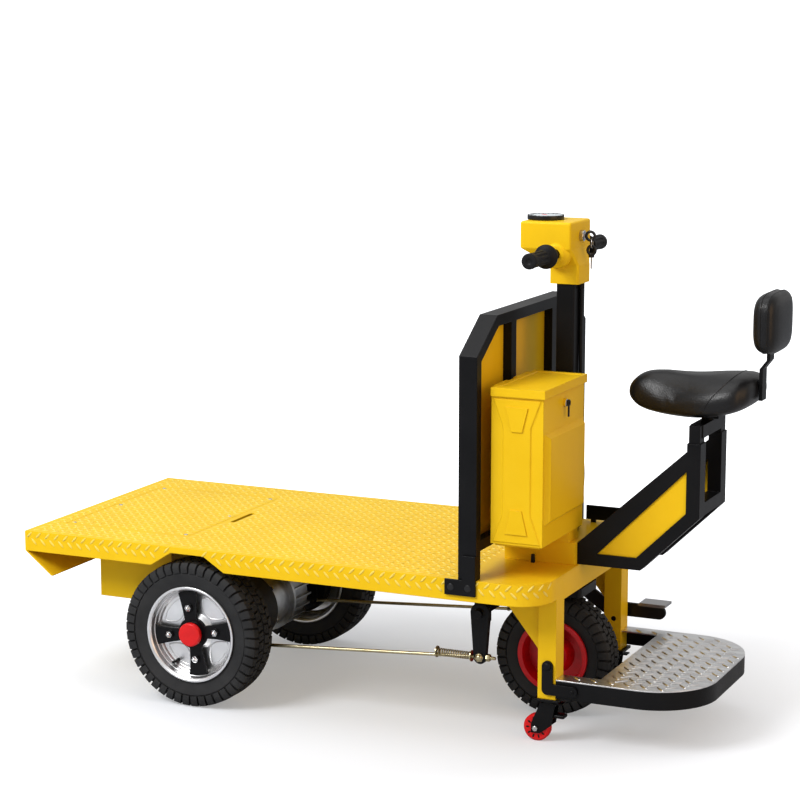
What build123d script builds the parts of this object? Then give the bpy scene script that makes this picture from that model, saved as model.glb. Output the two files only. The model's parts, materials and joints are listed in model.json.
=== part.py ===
from build123d import *
from math import hypot, pi, radians, tan
import os

os.makedirs("parts", exist_ok=True)

# Electric platform cart. +X points to the operator's end, +Y to the pedal side, +Z up.
# The origin is on the floor under the middle of the cart. Sizes and places are in millimetres.

# Fits
turn_gap = 0.3  # round a shaft, pin or hub that turns
slide_gap = 0.5  # round a tube that slides in another
press_gap = 0.1  # round a piece that is pressed or clamped in place
swing_gap = 6.0  # kept free beside a piece that swings

# Deck
deck_rear_x = -907.0
deck_front_x = 459.0
deck_width = 700.0
deck_over_tyre = 35.0
deck_sheet = 3.0
skirt_height = 50.0
deck_corner_radius = 86.0
lip_reach = 74.0
lip_drop = 57.0
arch_half_length = 100.0
arch_half_flat = 45.0
arch_web = 15.0

# Service hatch in the deck
hatch_rear_x = -858.0
hatch_length = 349.0
hatch_seat = 4.0
hatch_gap = 1.0
finger_slot_length = 113.0
finger_slot_width = 12.0
finger_slot_setback = 24.0

# Welded tube frame under the deck
frame_tube_width = 30.0
frame_tube_height = 40.0
frame_tyre_gap = 7.0
frame_rear_gap = 18.0
middle_cross_xs = (-180.0, 120.0)

# Controller tray under the hatch
tray_rear_x = -759.0
tray_length = 205.0
tray_depth = 131.0
tray_sheet = 2.0

# Rear wheels and drive axle
rear_axle_x = -448.0
rear_tyre_od = 360.0
rear_tyre_width = 100.0
rear_track = 594.0
tyre_bead_half = 40.0
tyre_section_height = 68.0
rim_flange_height = 6.5
tyre_shoulder = 10.0
rim_wall = 5.7
rim_half_width = 46.0
dish_place = 4.0
dish_sheet = 6.0
rear_hub_radius = 34.0
spider_place = 22.0
spider_sheet = 8.0
spider_hub_radius = 38.0
spider_rim_gap = 2.2
spider_arms = 4
spider_root_half = 15.0
spider_back_share = (0.548, 0.26)  # the arm's leading edge bows through this point
spider_belly_share = (0.596, -0.072)  # and its trailing edge through this one
spider_horn_deg = 21.7
spider_heel_deg = -5.7
nut_circle_share = 0.61
nut_deg = 8.0
nut_seat_radius = 10.0
hub_boss_radius = 30.0
hub_boss_length = 4.0
hub_cap_radius = 29.0
hub_cap_length = 16.0
hub_cap_bevel = 3.5
axle_tube_radius = 28.0
axle_shaft_radius = 15.0
axle_shaft_end = 18.0
gearbox_radius = 88.0
gearbox_bevel = 11.0
gearbox_near_y = -130.0
gearbox_far_y = -40.0
collar_radius = 72.0
collar_length = 84.0
flange_radius = 86.0
flange_length = 10.0
can_radius = 74.0
motor_bracket_gap = 31.0
fin_height = 11.0
fin_width = 5.0
fin_count = 20
motor_cap_radius = 64.0
motor_cap_length = 18.0
drum_rim_gap = 21.2
drum_bevel = 5.0
drum_length = 30.0
drum_to_wheel = 35.0
axle_bracket_setback = 28.0
axle_bracket_width = 30.0
axle_bracket_length = 84.0
axle_bracket_drop = 36.0

# Brake linkage
brake_drum_gap = 6.0
brake_shaft_x = 263.0
brake_shaft_drop = 65.0
brake_shaft_radius = 10.0
brake_shaft_overhang = 20.0
brake_lever_sheet = 8.0
brake_lever_width = 24.0
brake_lever_boss = 15.0
brake_lever_reach = 106.0
rear_lever_lead = 46.0
rear_lever_rise = 16.0
rear_lever_reach = 60.0
rod_eye_radius = 8.0
rod_eye_sheet = 4.0
rod_eye_reach = 16.0
rod_pin_radius = 4.0
rod_pin_head = 7.0
rod_pin_head_height = 3.0
brake_rod_radius = 4.0
hanger_sheet = 6.0
hanger_width = 40.0
pedal_leg_gap = 14.0
pedal_lever_gap = 12.0
pedal_arm_sheet = 8.0
pedal_arm_width = 34.0
pedal_lift = 39.0
pedal_bend_x = 400.0
pedal_front_x = 552.0
pedal_length = 68.0
pedal_width = 50.0
pedal_sheet = 6.0

# Front legs, beam and casters
leg_depth = 44.0
leg_width = 50.0
leg_overhang = 25.0
leg_foot_z = 108.0
beam_height = 57.0
beam_depth = 20.0
beam_crown_gap = 13.0
gusset_rear_x = 312.0
gusset_toe = 7.0
gusset_heel = 136.0
gusset_sheet = 5.0
gusset_inset = 15.0
caster_plate_sheet = 6.0
caster_plate_size = 60.0
caster_wheel_od = 64.0
caster_wheel_width = 22.0
caster_trail = 30.0
caster_fork_sheet = 3.0
caster_fork_gap = 2.0
caster_fork_width = 36.0
caster_crown_sheet = 6.0
caster_pin_radius = 4.0
caster_hub_radius = 11.0
caster_tread_bevel = 4.0
caster_tab_reach = 16.0
caster_tab_width = 22.0
caster_tab_sheet = 3.0

# Steering base on the deck, battery box beside the column
base_rear_x = 278.0
base_front_x = 453.0
base_width = 236.0
base_height = 53.0
base_sheet = 4.0
bearing_wall = 9.0
box_rear_x = 322.0
box_length = 125.0
box_near_y = -314.0
box_far_y = -54.0
box_lift = 30.0
box_height = 353.0
box_sheet = 2.0
plateau_height = 11.0
plateau_margin_side = 10.0
plateau_bottom = 48.0
plateau_top = 96.0
stamp_height = 2.5
stamp_edge = 4.0
stamp_waist = 28.0
stamp_foot = 71.0
stamp_shoulder = 83.0
key_width = 54.0
key_height = 56.0
key_slant_deg = 76.0
key_drop = 18.0
bracket_sheet = 5.0
bracket_inset = 8.0
battery_length = 110.0
battery_width = 236.0
battery_height = 225.0
lid_sheet = 4.5
lid_rim = 11.0
lid_sink = 2.0
lid_skirt = 15.0
lid_gap = 1.0
hinge_radius = 5.0
knuckle_length = 40.0
knuckle_setback = 65.0
lock_radius = 9.0
lock_length = 6.0
lock_drop = 26.0

# Guard rail behind the steering
rail_rear_x = 258.0
rail_depth = 44.0
rail_tube = 25.0
rail_shoulder_rise = 512.0
rail_top_rise = 591.0
rail_top_half = 231.0
rail_low_bar_rise = 65.0
rail_post_line_y = 131.0
rail_post_width = 30.0
rail_panel_sheet = 3.0
rail_bracket_sheet = 6.0
rail_bracket_rear_x = 227.0
rail_bracket_height = 36.0
rail_strap_width = 32.0
rail_strap_rise = 57.0

# Steering column, head and front wheel
steer_x = 391.0
stem_radius = 25.0
column_depth = 44.0
column_width = 72.0
column_corner = 3.0
column_foot_gap = 6.0
column_rise = 645.0
head_height = 145.0
head_rear_x = 289.0
head_front_x = 414.0
head_width = 135.0
head_block = 62.0
neck_rear_x = 353.0
neck_front_x = 424.0
neck_width = 80.0
neck_height = 44.0
head_round = 6.0
gauge_x = 327.0
gauge_radius = 43.0
gauge_height = 11.0
gauge_bevel = 2.2
bar_radius = 11.0
bar_rise = 72.0
bar_x = 378.0
bar_half = 232.0
grip_radius = 16.5
grip_length = 112.0
grip_flange_radius = 28.0
grip_flange_length = 12.0
grip_cap = 5.0
grip_ribs = 12
rib_height = 2.0
ignition_rise = 110.0
ignition_radius = 13.0
ignition_length = 8.0
cable_radius = 4.0
cable_arc_share = 0.45
front_tyre_od = 290.0
front_tyre_width = 84.0
front_bead_half = 32.0
front_bead_radius = 82.0
front_rim_flange = 88.0
front_trail = 22.0
front_hub_radius = 40.0
front_pin_radius = 10.0
fork_gap = 6.0
fork_leg_sheet = 10.0
fork_leg_width = 46.0
crown_height = 22.0
crown_clear = 10.0
crown_reach = 78.0

# Folding footboard
board_front_x = 797.0
board_top_z = 157.0
board_plate = 3.0
board_band = 4.0
board_height = 45.0
board_corner_radius = 150.0
board_notch_x = 552.0
board_strip = 45.0
board_leg_gap = 0.5
pivot_x = 440.0
pivot_z = 187.0
link_width = 26.0
link_sheet = 6.0
link_reach = 60.0
pivot_radius = 6.0

# Seat frame and seat
seat_frame_half = 102.0
seat_tube = 40.0
seat_bar = 28.0
seat_foot_x = 607.0
seat_rear_end_rise = 50.0
seat_diagonal_rise = 287.0
seat_post_front_x = 745.0
seat_post_width = 32.0
seat_knee_rise = 134.0
seat_post_rise = 306.0
seat_wall = 2.5
window_setback = 48.0
window_foot_cut = 11.0
window_knee_rise = 9.0
window_top_drop = 46.0
seat_panel_sheet = 3.0
seat_panel_recess = 4.0
seat_cross_rise = 150.0
seat_cross_height = 30.0
seat_insert = 120.0
seat_bar_lift = 11.0
seat_bar_height = 30.0
saddle_post_radius = 14.0
clamp_length = 64.0
clamp_width = 44.0
clamp_height = 14.0
saddle_nose_x = 540.0
saddle_rear_x = 852.0
saddle_height = 95.0
saddle_dip = 11.0
saddle_dip_reach = 187.0
saddle_lift = 20.0
saddle_edge_rise = 28.0
saddle_width = 226.0
saddle_tail_drop = 2.0
saddle_tail_inset = 20.0
saddle_shoulder_reach = 225.0
saddle_waist_reach = 94.0
saddle_waist_flare = 12.0
belly_start = 81.0
belly_end = 243.0
nose_width = 84.0
nose_reach = 53.0
nose_bulge_reach = 12.5
nose_bulge_drop = 24.0
plan_round = 28.0
back_bar_sheet = 8.0
back_bar_width = 34.0
back_bar_foot_rise = 34.0
back_bar_bend_rise = 106.0
back_bar_lean = 16.0
pad_front_x = 907.0
pad_depth = 46.0
pad_width = 184.0
pad_rise = 143.0
pad_height = 147.0
pad_corner = 40.0
pad_edge = 10.0
latch_rear_x = 400.0
latch_length = 92.0
latch_height = 34.0
latch_sheet = 6.0
latch_foot = 12.0
latch_lift = 7.0
latch_knob_radius = 9.0

# Heights and lines that follow from the sizes above. The deck clears the higher of the wheels under it.
crown_bottom_z = front_tyre_od + crown_clear
crown_top_z = crown_bottom_z + crown_height
front_need_z = crown_top_z + beam_crown_gap + beam_height + deck_sheet
deck_top_z = max(rear_tyre_od + deck_over_tyre, front_need_z)
skirt_bottom_z = deck_top_z - skirt_height
sheet_bottom_z = deck_top_z - deck_sheet
frame_bottom_z = sheet_bottom_z - frame_tube_height
hatch_front_x = hatch_rear_x + hatch_length
rear_axle_z = rear_tyre_od / 2
rear_wheel_y = rear_track / 2
rear_bead_radius = rear_tyre_od / 2 - tyre_section_height
rim_flange_radius = rear_bead_radius + rim_flange_height
rim_inner_radius = rear_bead_radius - press_gap - rim_wall
spider_reach = rim_inner_radius - spider_rim_gap
drum_radius = rim_inner_radius - drum_rim_gap
drum_face_y = rear_wheel_y - drum_to_wheel - drum_length
frame_line_y = rear_wheel_y - rear_tyre_width / 2 - frame_tyre_gap - frame_tube_width / 2
hatch_width = 2 * (frame_line_y + frame_tube_width / 2 - hatch_seat)
axle_bracket_line_y = drum_face_y - axle_bracket_setback
motor_far_y = axle_bracket_line_y - axle_bracket_width / 2 - motor_bracket_gap - motor_cap_length
can_length = motor_far_y - gearbox_far_y - collar_length - flange_length
brake_line_y = drum_face_y - brake_drum_gap
brake_shaft_end_y = brake_line_y + brake_shaft_overhang
brake_shaft_z = frame_bottom_z - brake_shaft_drop
brake_lever_pin_z = brake_shaft_z - brake_lever_reach
rear_lever_x = rear_axle_x + rear_lever_lead
rear_lever_top_z = rear_axle_z + rear_lever_rise
rear_lever_pin_z = rear_lever_top_z - rear_lever_reach
front_axle_z = front_tyre_od / 2
front_wheel_x = steer_x - front_trail
leg_rear_x = deck_front_x - leg_depth
leg_x = deck_front_x - leg_depth / 2
leg_outer_y = frame_line_y + leg_overhang
leg_inner_y = leg_outer_y - leg_width
leg_y = leg_outer_y - leg_width / 2
lever_outer_y = brake_line_y + brake_lever_sheet / 2
pedal_arm_y = max(leg_outer_y + pedal_leg_gap, lever_outer_y + pedal_lever_gap)
pedal_arm_z = board_top_z + pedal_lift
base_top_z = deck_top_z + base_height
box_bottom_z = base_top_z + box_lift
box_top_z = box_bottom_z + box_height
box_front_x = box_rear_x + box_length
box_x = box_rear_x + box_length / 2
box_y = (box_near_y + box_far_y) / 2
hinge_x = box_rear_x - hinge_radius - turn_gap
knuckle_ys = (box_near_y + knuckle_setback, box_far_y - knuckle_setback)
column_foot_z = base_top_z + column_foot_gap
column_top_z = deck_top_z + column_rise
head_top_z = column_top_z + head_height
bar_z = column_top_z + bar_rise
ignition_z = column_top_z + ignition_rise
rail_shoulder_z = deck_top_z + rail_shoulder_rise
rail_top_z = deck_top_z + rail_top_rise
rail_low_bar_z = deck_top_z + rail_low_bar_rise
rail_front_x = rail_rear_x + rail_depth
rail_mid_x = rail_rear_x + rail_depth / 2
seat_inner_y = seat_frame_half - seat_tube
seat_rear_end_z = deck_top_z + seat_rear_end_rise
seat_diagonal_top_z = deck_top_z + seat_diagonal_rise
seat_post_knee_z = deck_top_z + seat_knee_rise
seat_post_top_z = deck_top_z + seat_post_rise
seat_cross_z = deck_top_z + seat_cross_rise
seat_bar_z = seat_post_top_z + seat_bar_lift
saddle_floor_z = seat_bar_z + seat_bar_height + saddle_lift
saddle_top_z = saddle_floor_z + saddle_height
saddle_dip_z = saddle_top_z - saddle_dip
back_bar_bottom_z = saddle_floor_z + back_bar_foot_rise
back_bar_bend_z = saddle_floor_z + back_bar_bend_rise
pad_bottom_z = saddle_floor_z + pad_rise
seat_post_rear_x = seat_post_front_x - seat_post_width
seat_post_x = seat_post_front_x - seat_post_width / 2
seat_line_y = seat_frame_half - seat_tube / 2
board_rear_x = deck_front_x + board_leg_gap
board_bottom_z = board_top_z - board_height


def slab(xs, ys, zs, mode=Mode.ADD):
    """A block between two x, two y and two z values."""
    with Locations(((xs[0] + xs[1]) / 2, (ys[0] + ys[1]) / 2, (zs[0] + zs[1]) / 2)):
        return Box(xs[1] - xs[0], ys[1] - ys[0], zs[1] - zs[0], mode=mode)


def side_plane(y):
    """Upright plane at one y whose sketch axes are the cart's X and Z; it faces -Y."""
    return Plane(origin=(0, y, 0), x_dir=(1, 0, 0), z_dir=(0, -1, 0))


def wheel_plane(x, y, z, side):
    """Section plane of a wheel: sketch x runs outwards along the axle, sketch y is the radius."""
    return Plane(origin=(x, y, z), x_dir=(0, side, 0), z_dir=(side, 0, 0))


def disc_plane(x, y, z, side):
    """Plane across a wheel that faces outwards, with the cart's Z as its sketch y."""
    return Plane(origin=(x, y, z), x_dir=(-side, 0, 0), z_dir=(0, side, 0))


def y_axis(x, z):
    """The line along Y through one x and z."""
    return Axis((x, 0, z), (0, 1, 0))


def span(middle, width):
    """The two ends of a width about its middle."""
    return (middle - width / 2, middle + width / 2)


def mirrored(line, width, side):
    """The two y values of a strip of one width about a line at the near or far side."""
    return span(side * line, width)


# Deck: one folded tread sheet with a skirt, wheel arches and a sloping rear lip
with BuildPart() as deck_plate:
    with BuildSketch(Plane.XY.offset(skirt_bottom_z)) as deck_outline:
        with Locations(((deck_rear_x + deck_front_x) / 2, 0)):
            Rectangle(deck_front_x - deck_rear_x, deck_width)
        fillet(deck_outline.vertices().group_by(Axis.X)[-1], deck_corner_radius)
    extrude(amount=skirt_height)
    offset(amount=-deck_sheet, openings=deck_plate.faces().sort_by(Axis.Z)[0])
    with BuildSketch(Plane.XZ):
        with BuildLine():
            Polyline(
                (rear_axle_x - arch_half_length, skirt_bottom_z),
                (rear_axle_x - arch_half_flat, deck_top_z - arch_web),
                (rear_axle_x + arch_half_flat, deck_top_z - arch_web),
                (rear_axle_x + arch_half_length, skirt_bottom_z),
                close=True,
            )
        make_face()
    extrude(amount=deck_width, both=True, mode=Mode.SUBTRACT)
    lip_sheet = deck_sheet * hypot(lip_reach, lip_drop) / lip_drop
    with BuildSketch(Plane.XZ):
        with BuildLine():
            Polyline(
                (deck_rear_x, skirt_bottom_z),
                (deck_rear_x + lip_sheet, skirt_bottom_z),
                (deck_rear_x + lip_reach + lip_sheet, skirt_bottom_z - lip_drop),
                (deck_rear_x + lip_reach, skirt_bottom_z - lip_drop),
                close=True,
            )
        make_face()
    extrude(amount=deck_width / 2, both=True)
    hatch_x = (hatch_rear_x + hatch_front_x) / 2
    with BuildSketch(Plane.XY.offset(sheet_bottom_z)):
        with Locations((hatch_x, 0)):
            Rectangle(hatch_length + 2 * hatch_gap, hatch_width + 2 * hatch_gap)
        with Locations((hatch_front_x + finger_slot_setback, 0)):
            SlotOverall(finger_slot_length, finger_slot_width, rotation=90)
        with Locations((steer_x, 0)):
            Circle(stem_radius + bearing_wall)
    extrude(amount=deck_sheet, mode=Mode.SUBTRACT)
    slab((leg_rear_x, deck_front_x), (-leg_outer_y, leg_outer_y), (skirt_bottom_z, sheet_bottom_z),
         mode=Mode.SUBTRACT)
deck_plate.part.label = "deck_plate"
export_step(deck_plate.part, "parts/deck_plate.step")

with BuildPart() as deck_hatch:
    slab((hatch_rear_x, hatch_front_x), span(0, hatch_width), (sheet_bottom_z, deck_top_z))
deck_hatch.part.label = "deck_hatch"
export_step(deck_hatch.part, "parts/deck_hatch.step")

# Tube frame: two long rails and the cross tubes that carry the hatch and the deck
with BuildPart() as underframe:
    frame_rear_x = deck_rear_x + deck_sheet + frame_rear_gap
    frame_zs = (frame_bottom_z, sheet_bottom_z)
    for side in (-1, 1):
        slab((frame_rear_x, leg_rear_x), mirrored(frame_line_y, frame_tube_width, side), frame_zs)
    for cross_x in (hatch_rear_x, hatch_front_x, *middle_cross_xs):
        slab(span(cross_x, frame_tube_width), (-frame_line_y, frame_line_y), frame_zs)
underframe.part.label = "underframe"
export_step(underframe.part, "parts/underframe.step")

with BuildPart() as controller_tray:
    tray_zs = (frame_bottom_z - tray_depth, frame_bottom_z)
    tray_half = frame_line_y + frame_tube_width / 2
    slab((tray_rear_x, tray_rear_x + tray_length), (-tray_half, tray_half), tray_zs)
    offset(amount=-tray_sheet, openings=controller_tray.faces().sort_by(Axis.Z)[-1])
controller_tray.part.label = "controller_tray"
export_step(controller_tray.part, "parts/controller_tray.step")

# Drive axle: tube, gearbox drum and the two stub shafts that carry the wheels
with BuildPart() as axle_housing:
    with BuildSketch(wheel_plane(rear_axle_x, 0, rear_axle_z, 1)):
        with Locations((0, axle_tube_radius / 2)):
            Rectangle(2 * drum_face_y, axle_tube_radius)
        with Locations((0, axle_shaft_radius / 2)):
            Rectangle(2 * (rear_wheel_y + axle_shaft_end), axle_shaft_radius)
        with Locations(((gearbox_near_y + gearbox_far_y) / 2, gearbox_radius / 2)):
            Rectangle(gearbox_far_y - gearbox_near_y, gearbox_radius)
    revolve(axis=y_axis(rear_axle_x, rear_axle_z))
    gearbox_rims = axle_housing.edges().filter_by(GeomType.CIRCLE).group_by(SortBy.RADIUS)[-1]
    chamfer(gearbox_rims, gearbox_bevel)
axle_housing.part.label = "axle_housing"
export_step(axle_housing.part, "parts/axle_housing.step")

# Motor: bell collar, flange and a finned can clamped round the axle tube
with BuildPart() as drive_motor:
    motor_steps = (
        # radius, length
        (collar_radius, collar_length),
        (flange_radius, flange_length),
        (can_radius, can_length),
        (motor_cap_radius, motor_cap_length),
    )
    step_y = gearbox_far_y
    for step_radius, step_length in motor_steps:
        with BuildSketch(disc_plane(rear_axle_x, step_y, rear_axle_z, 1)):
            Circle(step_radius)
        extrude(amount=step_length)
        step_y += step_length
    with BuildSketch(disc_plane(rear_axle_x, motor_far_y - can_length, rear_axle_z, 1)):
        with PolarLocations(can_radius, fin_count):
            Rectangle(2 * fin_height, fin_width)
    extrude(amount=can_length)
    with BuildSketch(disc_plane(rear_axle_x, gearbox_far_y, rear_axle_z, 1)):
        Circle(axle_tube_radius + press_gap)
    extrude(amount=step_y - gearbox_far_y, mode=Mode.SUBTRACT)
drive_motor.part.label = "drive_motor"
export_step(drive_motor.part, "parts/drive_motor.step")

# Brake drums, fixed behind the wheels
with BuildPart() as brake_drums:
    for side in (-1, 1):
        with BuildSketch(disc_plane(rear_axle_x, side * drum_face_y, rear_axle_z, side)):
            Circle(drum_radius)
            Circle(axle_shaft_radius + press_gap, mode=Mode.SUBTRACT)
        extrude(amount=drum_length)
    drum_rims = brake_drums.edges().filter_by(GeomType.CIRCLE).group_by(SortBy.RADIUS)[-1]
    chamfer(drum_rims, drum_bevel)
brake_drums.part.label = "brake_drums"
export_step(brake_drums.part, "parts/brake_drums.step")

with BuildPart() as axle_brackets:
    for side in (-1, 1):
        slab(
            span(rear_axle_x, axle_bracket_length),
            mirrored(axle_bracket_line_y, axle_bracket_width, side),
            (rear_axle_z - axle_bracket_drop, frame_bottom_z),
        )
    with BuildSketch(Plane(origin=(rear_axle_x, 0, rear_axle_z), x_dir=(1, 0, 0), z_dir=(0, 1, 0))):
        Circle(axle_tube_radius + press_gap)
    extrude(amount=deck_width / 2, both=True, mode=Mode.SUBTRACT)
axle_brackets.part.label = "axle_brackets"
export_step(axle_brackets.part, "parts/axle_brackets.step")


def tyre_outline(half, radius, bead_half, bead_radius, bead_top):
    """Tyre section: the flanks lean in from the shoulder past the rim's flange to the bead."""
    shoulder_radius = radius - tyre_shoulder
    lean = (half - bead_half) / (shoulder_radius - bead_top)
    bead = bead_half - lean * (bead_top - bead_radius)
    one_side = [(bead, bead_radius), (half, shoulder_radius), (half - tyre_shoulder, radius)]
    other_side = [(-across, height) for across, height in one_side]
    return one_side + other_side[::-1]


# Rear wheels: tyre, silver rim, black four-arm spider and red hub cap
for name, side in (("near", -1), ("far", 1)):
    wheel_at = (rear_axle_x, side * rear_wheel_y, rear_axle_z)
    wheel_axis = y_axis(rear_axle_x, rear_axle_z)
    rear_tyre_radius = rear_tyre_od / 2
    with BuildPart() as rear_tyre:
        with BuildSketch(wheel_plane(*wheel_at, side)):
            with BuildLine():
                bead_top = rim_flange_radius + slide_gap
                Polyline(*tyre_outline(rear_tyre_width / 2, rear_tyre_radius, tyre_bead_half,
                                       rear_bead_radius, bead_top), close=True)
            make_face()
        revolve(axis=wheel_axis)
    rear_tyre.part.label = f"rear_tyre_{name}"
    export_step(rear_tyre.part, f"parts/rear_tyre_{name}.step")

    with BuildPart() as rear_rim:
        barrel_radius = rear_bead_radius - press_gap
        hub_bore = axle_shaft_radius + turn_gap
        hub_tail = drum_to_wheel - swing_gap
        with BuildSketch(wheel_plane(*wheel_at, side)):
            with Locations((0, barrel_radius - rim_wall / 2)):
                Rectangle(2 * rim_half_width, rim_wall)
            flange_sheet = rim_half_width - tyre_bead_half - press_gap
            for flange_side in (-1, 1):
                flange_height = rim_flange_radius - barrel_radius + rim_wall
                with Locations((flange_side * (rim_half_width - flange_sheet / 2),
                                rim_flange_radius - flange_height / 2)):
                    Rectangle(flange_sheet, flange_height)
            with Locations((dish_place + dish_sheet / 2, (hub_bore + barrel_radius) / 2)):
                Rectangle(dish_sheet, barrel_radius - hub_bore)
            with Locations(((spider_place - hub_tail) / 2, (hub_bore + rear_hub_radius) / 2)):
                Rectangle(spider_place + hub_tail, rear_hub_radius - hub_bore)
        revolve(axis=wheel_axis)
    rear_rim.part.label = f"rear_rim_{name}"
    export_step(rear_rim.part, f"parts/rear_rim_{name}.step")

    with BuildPart() as wheel_spider:
        spider_y = side * (rear_wheel_y + spider_place)
        with BuildSketch(mode=Mode.PRIVATE) as spider_arm:
            with BuildLine():
                horn = Vector(spider_reach, 0).rotate(Axis.Z, spider_horn_deg)
                heel = Vector(spider_reach, 0).rotate(Axis.Z, spider_heel_deg)
                spider_back = Vector(*spider_back_share) * spider_reach
                spider_belly = Vector(*spider_belly_share) * spider_reach
                leading = ThreePointArc((0, spider_root_half), spider_back, horn)
                RadiusArc(horn, heel, spider_reach)
                trailing = ThreePointArc(heel, spider_belly, (0, -spider_root_half))
                Line(trailing @ 1, leading @ 0)
            make_face()
        with BuildSketch(disc_plane(rear_axle_x, spider_y, rear_axle_z, side)):
            Circle(spider_hub_radius)
            with PolarLocations(0, spider_arms):
                add(spider_arm.sketch)
        extrude(amount=spider_sheet)
        with BuildSketch(disc_plane(rear_axle_x, spider_y + side * spider_sheet, rear_axle_z, side)):
            Circle(hub_boss_radius)
            with PolarLocations(nut_circle_share * spider_reach, spider_arms, start_angle=nut_deg):
                Circle(nut_seat_radius)
        extrude(amount=hub_boss_length)
    wheel_spider.part.label = f"wheel_spider_{name}"
    export_step(wheel_spider.part, f"parts/wheel_spider_{name}.step")

    with BuildPart() as hub_cap:
        cap_y = spider_y + side * (spider_sheet + hub_boss_length)
        with BuildSketch(disc_plane(rear_axle_x, cap_y, rear_axle_z, side)):
            Circle(hub_cap_radius)
        extrude(amount=hub_cap_length)
        cap_face = hub_cap.faces().sort_by(Axis.Y)[-1 if side > 0 else 0]
        chamfer(cap_face.edges(), hub_cap_bevel)
    hub_cap.part.label = f"hub_cap_{name}"
    export_step(hub_cap.part, f"parts/hub_cap_{name}.step")

# Brake linkage: cross shaft with its two levers, hangers, rods, rear levers and pedal
def forked_lever(x, boss_z, pin_z, side):
    """A plate that tapers from its boss to a fork, with the pin that takes a rod's eye."""
    lever_y = side * brake_line_y
    with BuildPart() as lever:
        with BuildSketch(side_plane(lever_y)):
            with Locations((x, boss_z)):
                Circle(brake_lever_boss)
            with Locations((x, pin_z)):
                Circle(brake_lever_width / 2)
            make_hull()
        extrude(amount=brake_lever_sheet / 2, both=True)
        slab(span(x, 2 * brake_lever_width), span(lever_y, rod_eye_sheet + 2 * slide_gap),
             (pin_z - brake_lever_width, pin_z + rod_eye_reach), mode=Mode.SUBTRACT)
        with BuildSketch(side_plane(lever_y)):
            with Locations((x, pin_z)):
                Circle(rod_pin_radius)
        extrude(amount=brake_lever_sheet / 2, both=True)
        with BuildSketch(disc_plane(x, side * (brake_line_y - brake_lever_sheet / 2), pin_z, -side)):
            Circle(rod_pin_head)
        extrude(amount=rod_pin_head_height)
    return lever.part


with BuildPart() as brake_shaft:
    with BuildSketch(side_plane(-brake_shaft_end_y)):
        with Locations((brake_shaft_x, brake_shaft_z)):
            Circle(brake_shaft_radius)
    extrude(amount=-(brake_shaft_end_y + pedal_arm_y))
    for side in (-1, 1):
        add(forked_lever(brake_shaft_x, brake_shaft_z, brake_lever_pin_z, side))
brake_shaft.part.label = "brake_shaft"
export_step(brake_shaft.part, "parts/brake_shaft.step")

with BuildPart() as shaft_hangers:
    for side in (-1, 1):
        hanger_y = frame_line_y - frame_tube_width / 2 + hanger_sheet / 2
        slab(
            span(brake_shaft_x, hanger_width),
            mirrored(hanger_y, hanger_sheet, side),
            (brake_shaft_z - hanger_width / 2, frame_bottom_z),
        )
    with BuildSketch(Plane.XZ):
        with Locations((brake_shaft_x, brake_shaft_z)):
            Circle(brake_shaft_radius + press_gap)
    extrude(amount=deck_width / 2, both=True, mode=Mode.SUBTRACT)
shaft_hangers.part.label = "shaft_hangers"
export_step(shaft_hangers.part, "parts/shaft_hangers.step")

with BuildPart() as rear_brake_levers:
    for side in (-1, 1):
        add(forked_lever(rear_lever_x, rear_lever_top_z, rear_lever_pin_z, side))
        with BuildSketch(disc_plane(rear_lever_x, side * brake_line_y, rear_lever_top_z, side)):
            Circle(brake_rod_radius)
        extrude(amount=drum_face_y - brake_line_y)
rear_brake_levers.part.label = "rear_brake_levers"
export_step(rear_brake_levers.part, "parts/rear_brake_levers.step")

with BuildPart() as brake_rods:
    rear_pin = Vector(rear_lever_x, rear_lever_pin_z)
    front_pin = Vector(brake_shaft_x, brake_lever_pin_z)
    rod_heading = (front_pin - rear_pin).normalized()
    rod_start = rear_pin + rod_heading * rod_eye_reach
    rod_end = front_pin - rod_heading * rod_eye_reach
    for side in (-1, 1):
        rod_y = side * brake_line_y
        rod_plane = Plane(origin=(rod_start.X, rod_y, rod_start.Y), z_dir=(rod_heading.X, 0, rod_heading.Y))
        with BuildSketch(rod_plane):
            Circle(brake_rod_radius)
        extrude(amount=(rod_end - rod_start).length)
        for pin, neck in ((rear_pin, rod_start), (front_pin, rod_end)):
            with BuildSketch(side_plane(rod_y)):
                with Locations(pin):
                    Circle(rod_eye_radius)
                with Locations(neck):
                    Circle(brake_rod_radius)
                make_hull()
                with Locations(pin):
                    Circle(rod_pin_radius + press_gap, mode=Mode.SUBTRACT)
            extrude(amount=rod_eye_sheet / 2, both=True)
brake_rods.part.label = "brake_rods"
export_step(brake_rods.part, "parts/brake_rods.step")

with BuildPart() as brake_pedal:
    with BuildSketch(side_plane(pedal_arm_y)):
        with BuildLine(mode=Mode.PRIVATE) as arm_line:
            Polyline(
                (brake_shaft_x, brake_shaft_z),
                (pedal_bend_x, pedal_arm_z),
                (pedal_front_x - pedal_length / 4, pedal_arm_z),
            )
        SlotArc(arm_line.wires()[0], pedal_arm_width)
    extrude(amount=-pedal_arm_sheet)
    slab(
        (pedal_front_x - pedal_length, pedal_front_x),
        (pedal_arm_y, pedal_arm_y + pedal_width),
        (pedal_arm_z + pedal_arm_width / 2 - pedal_sheet / 2,
         pedal_arm_z + pedal_arm_width / 2 + pedal_sheet / 2),
    )
brake_pedal.part.label = "brake_pedal"
export_step(brake_pedal.part, "parts/brake_pedal.step")

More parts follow.
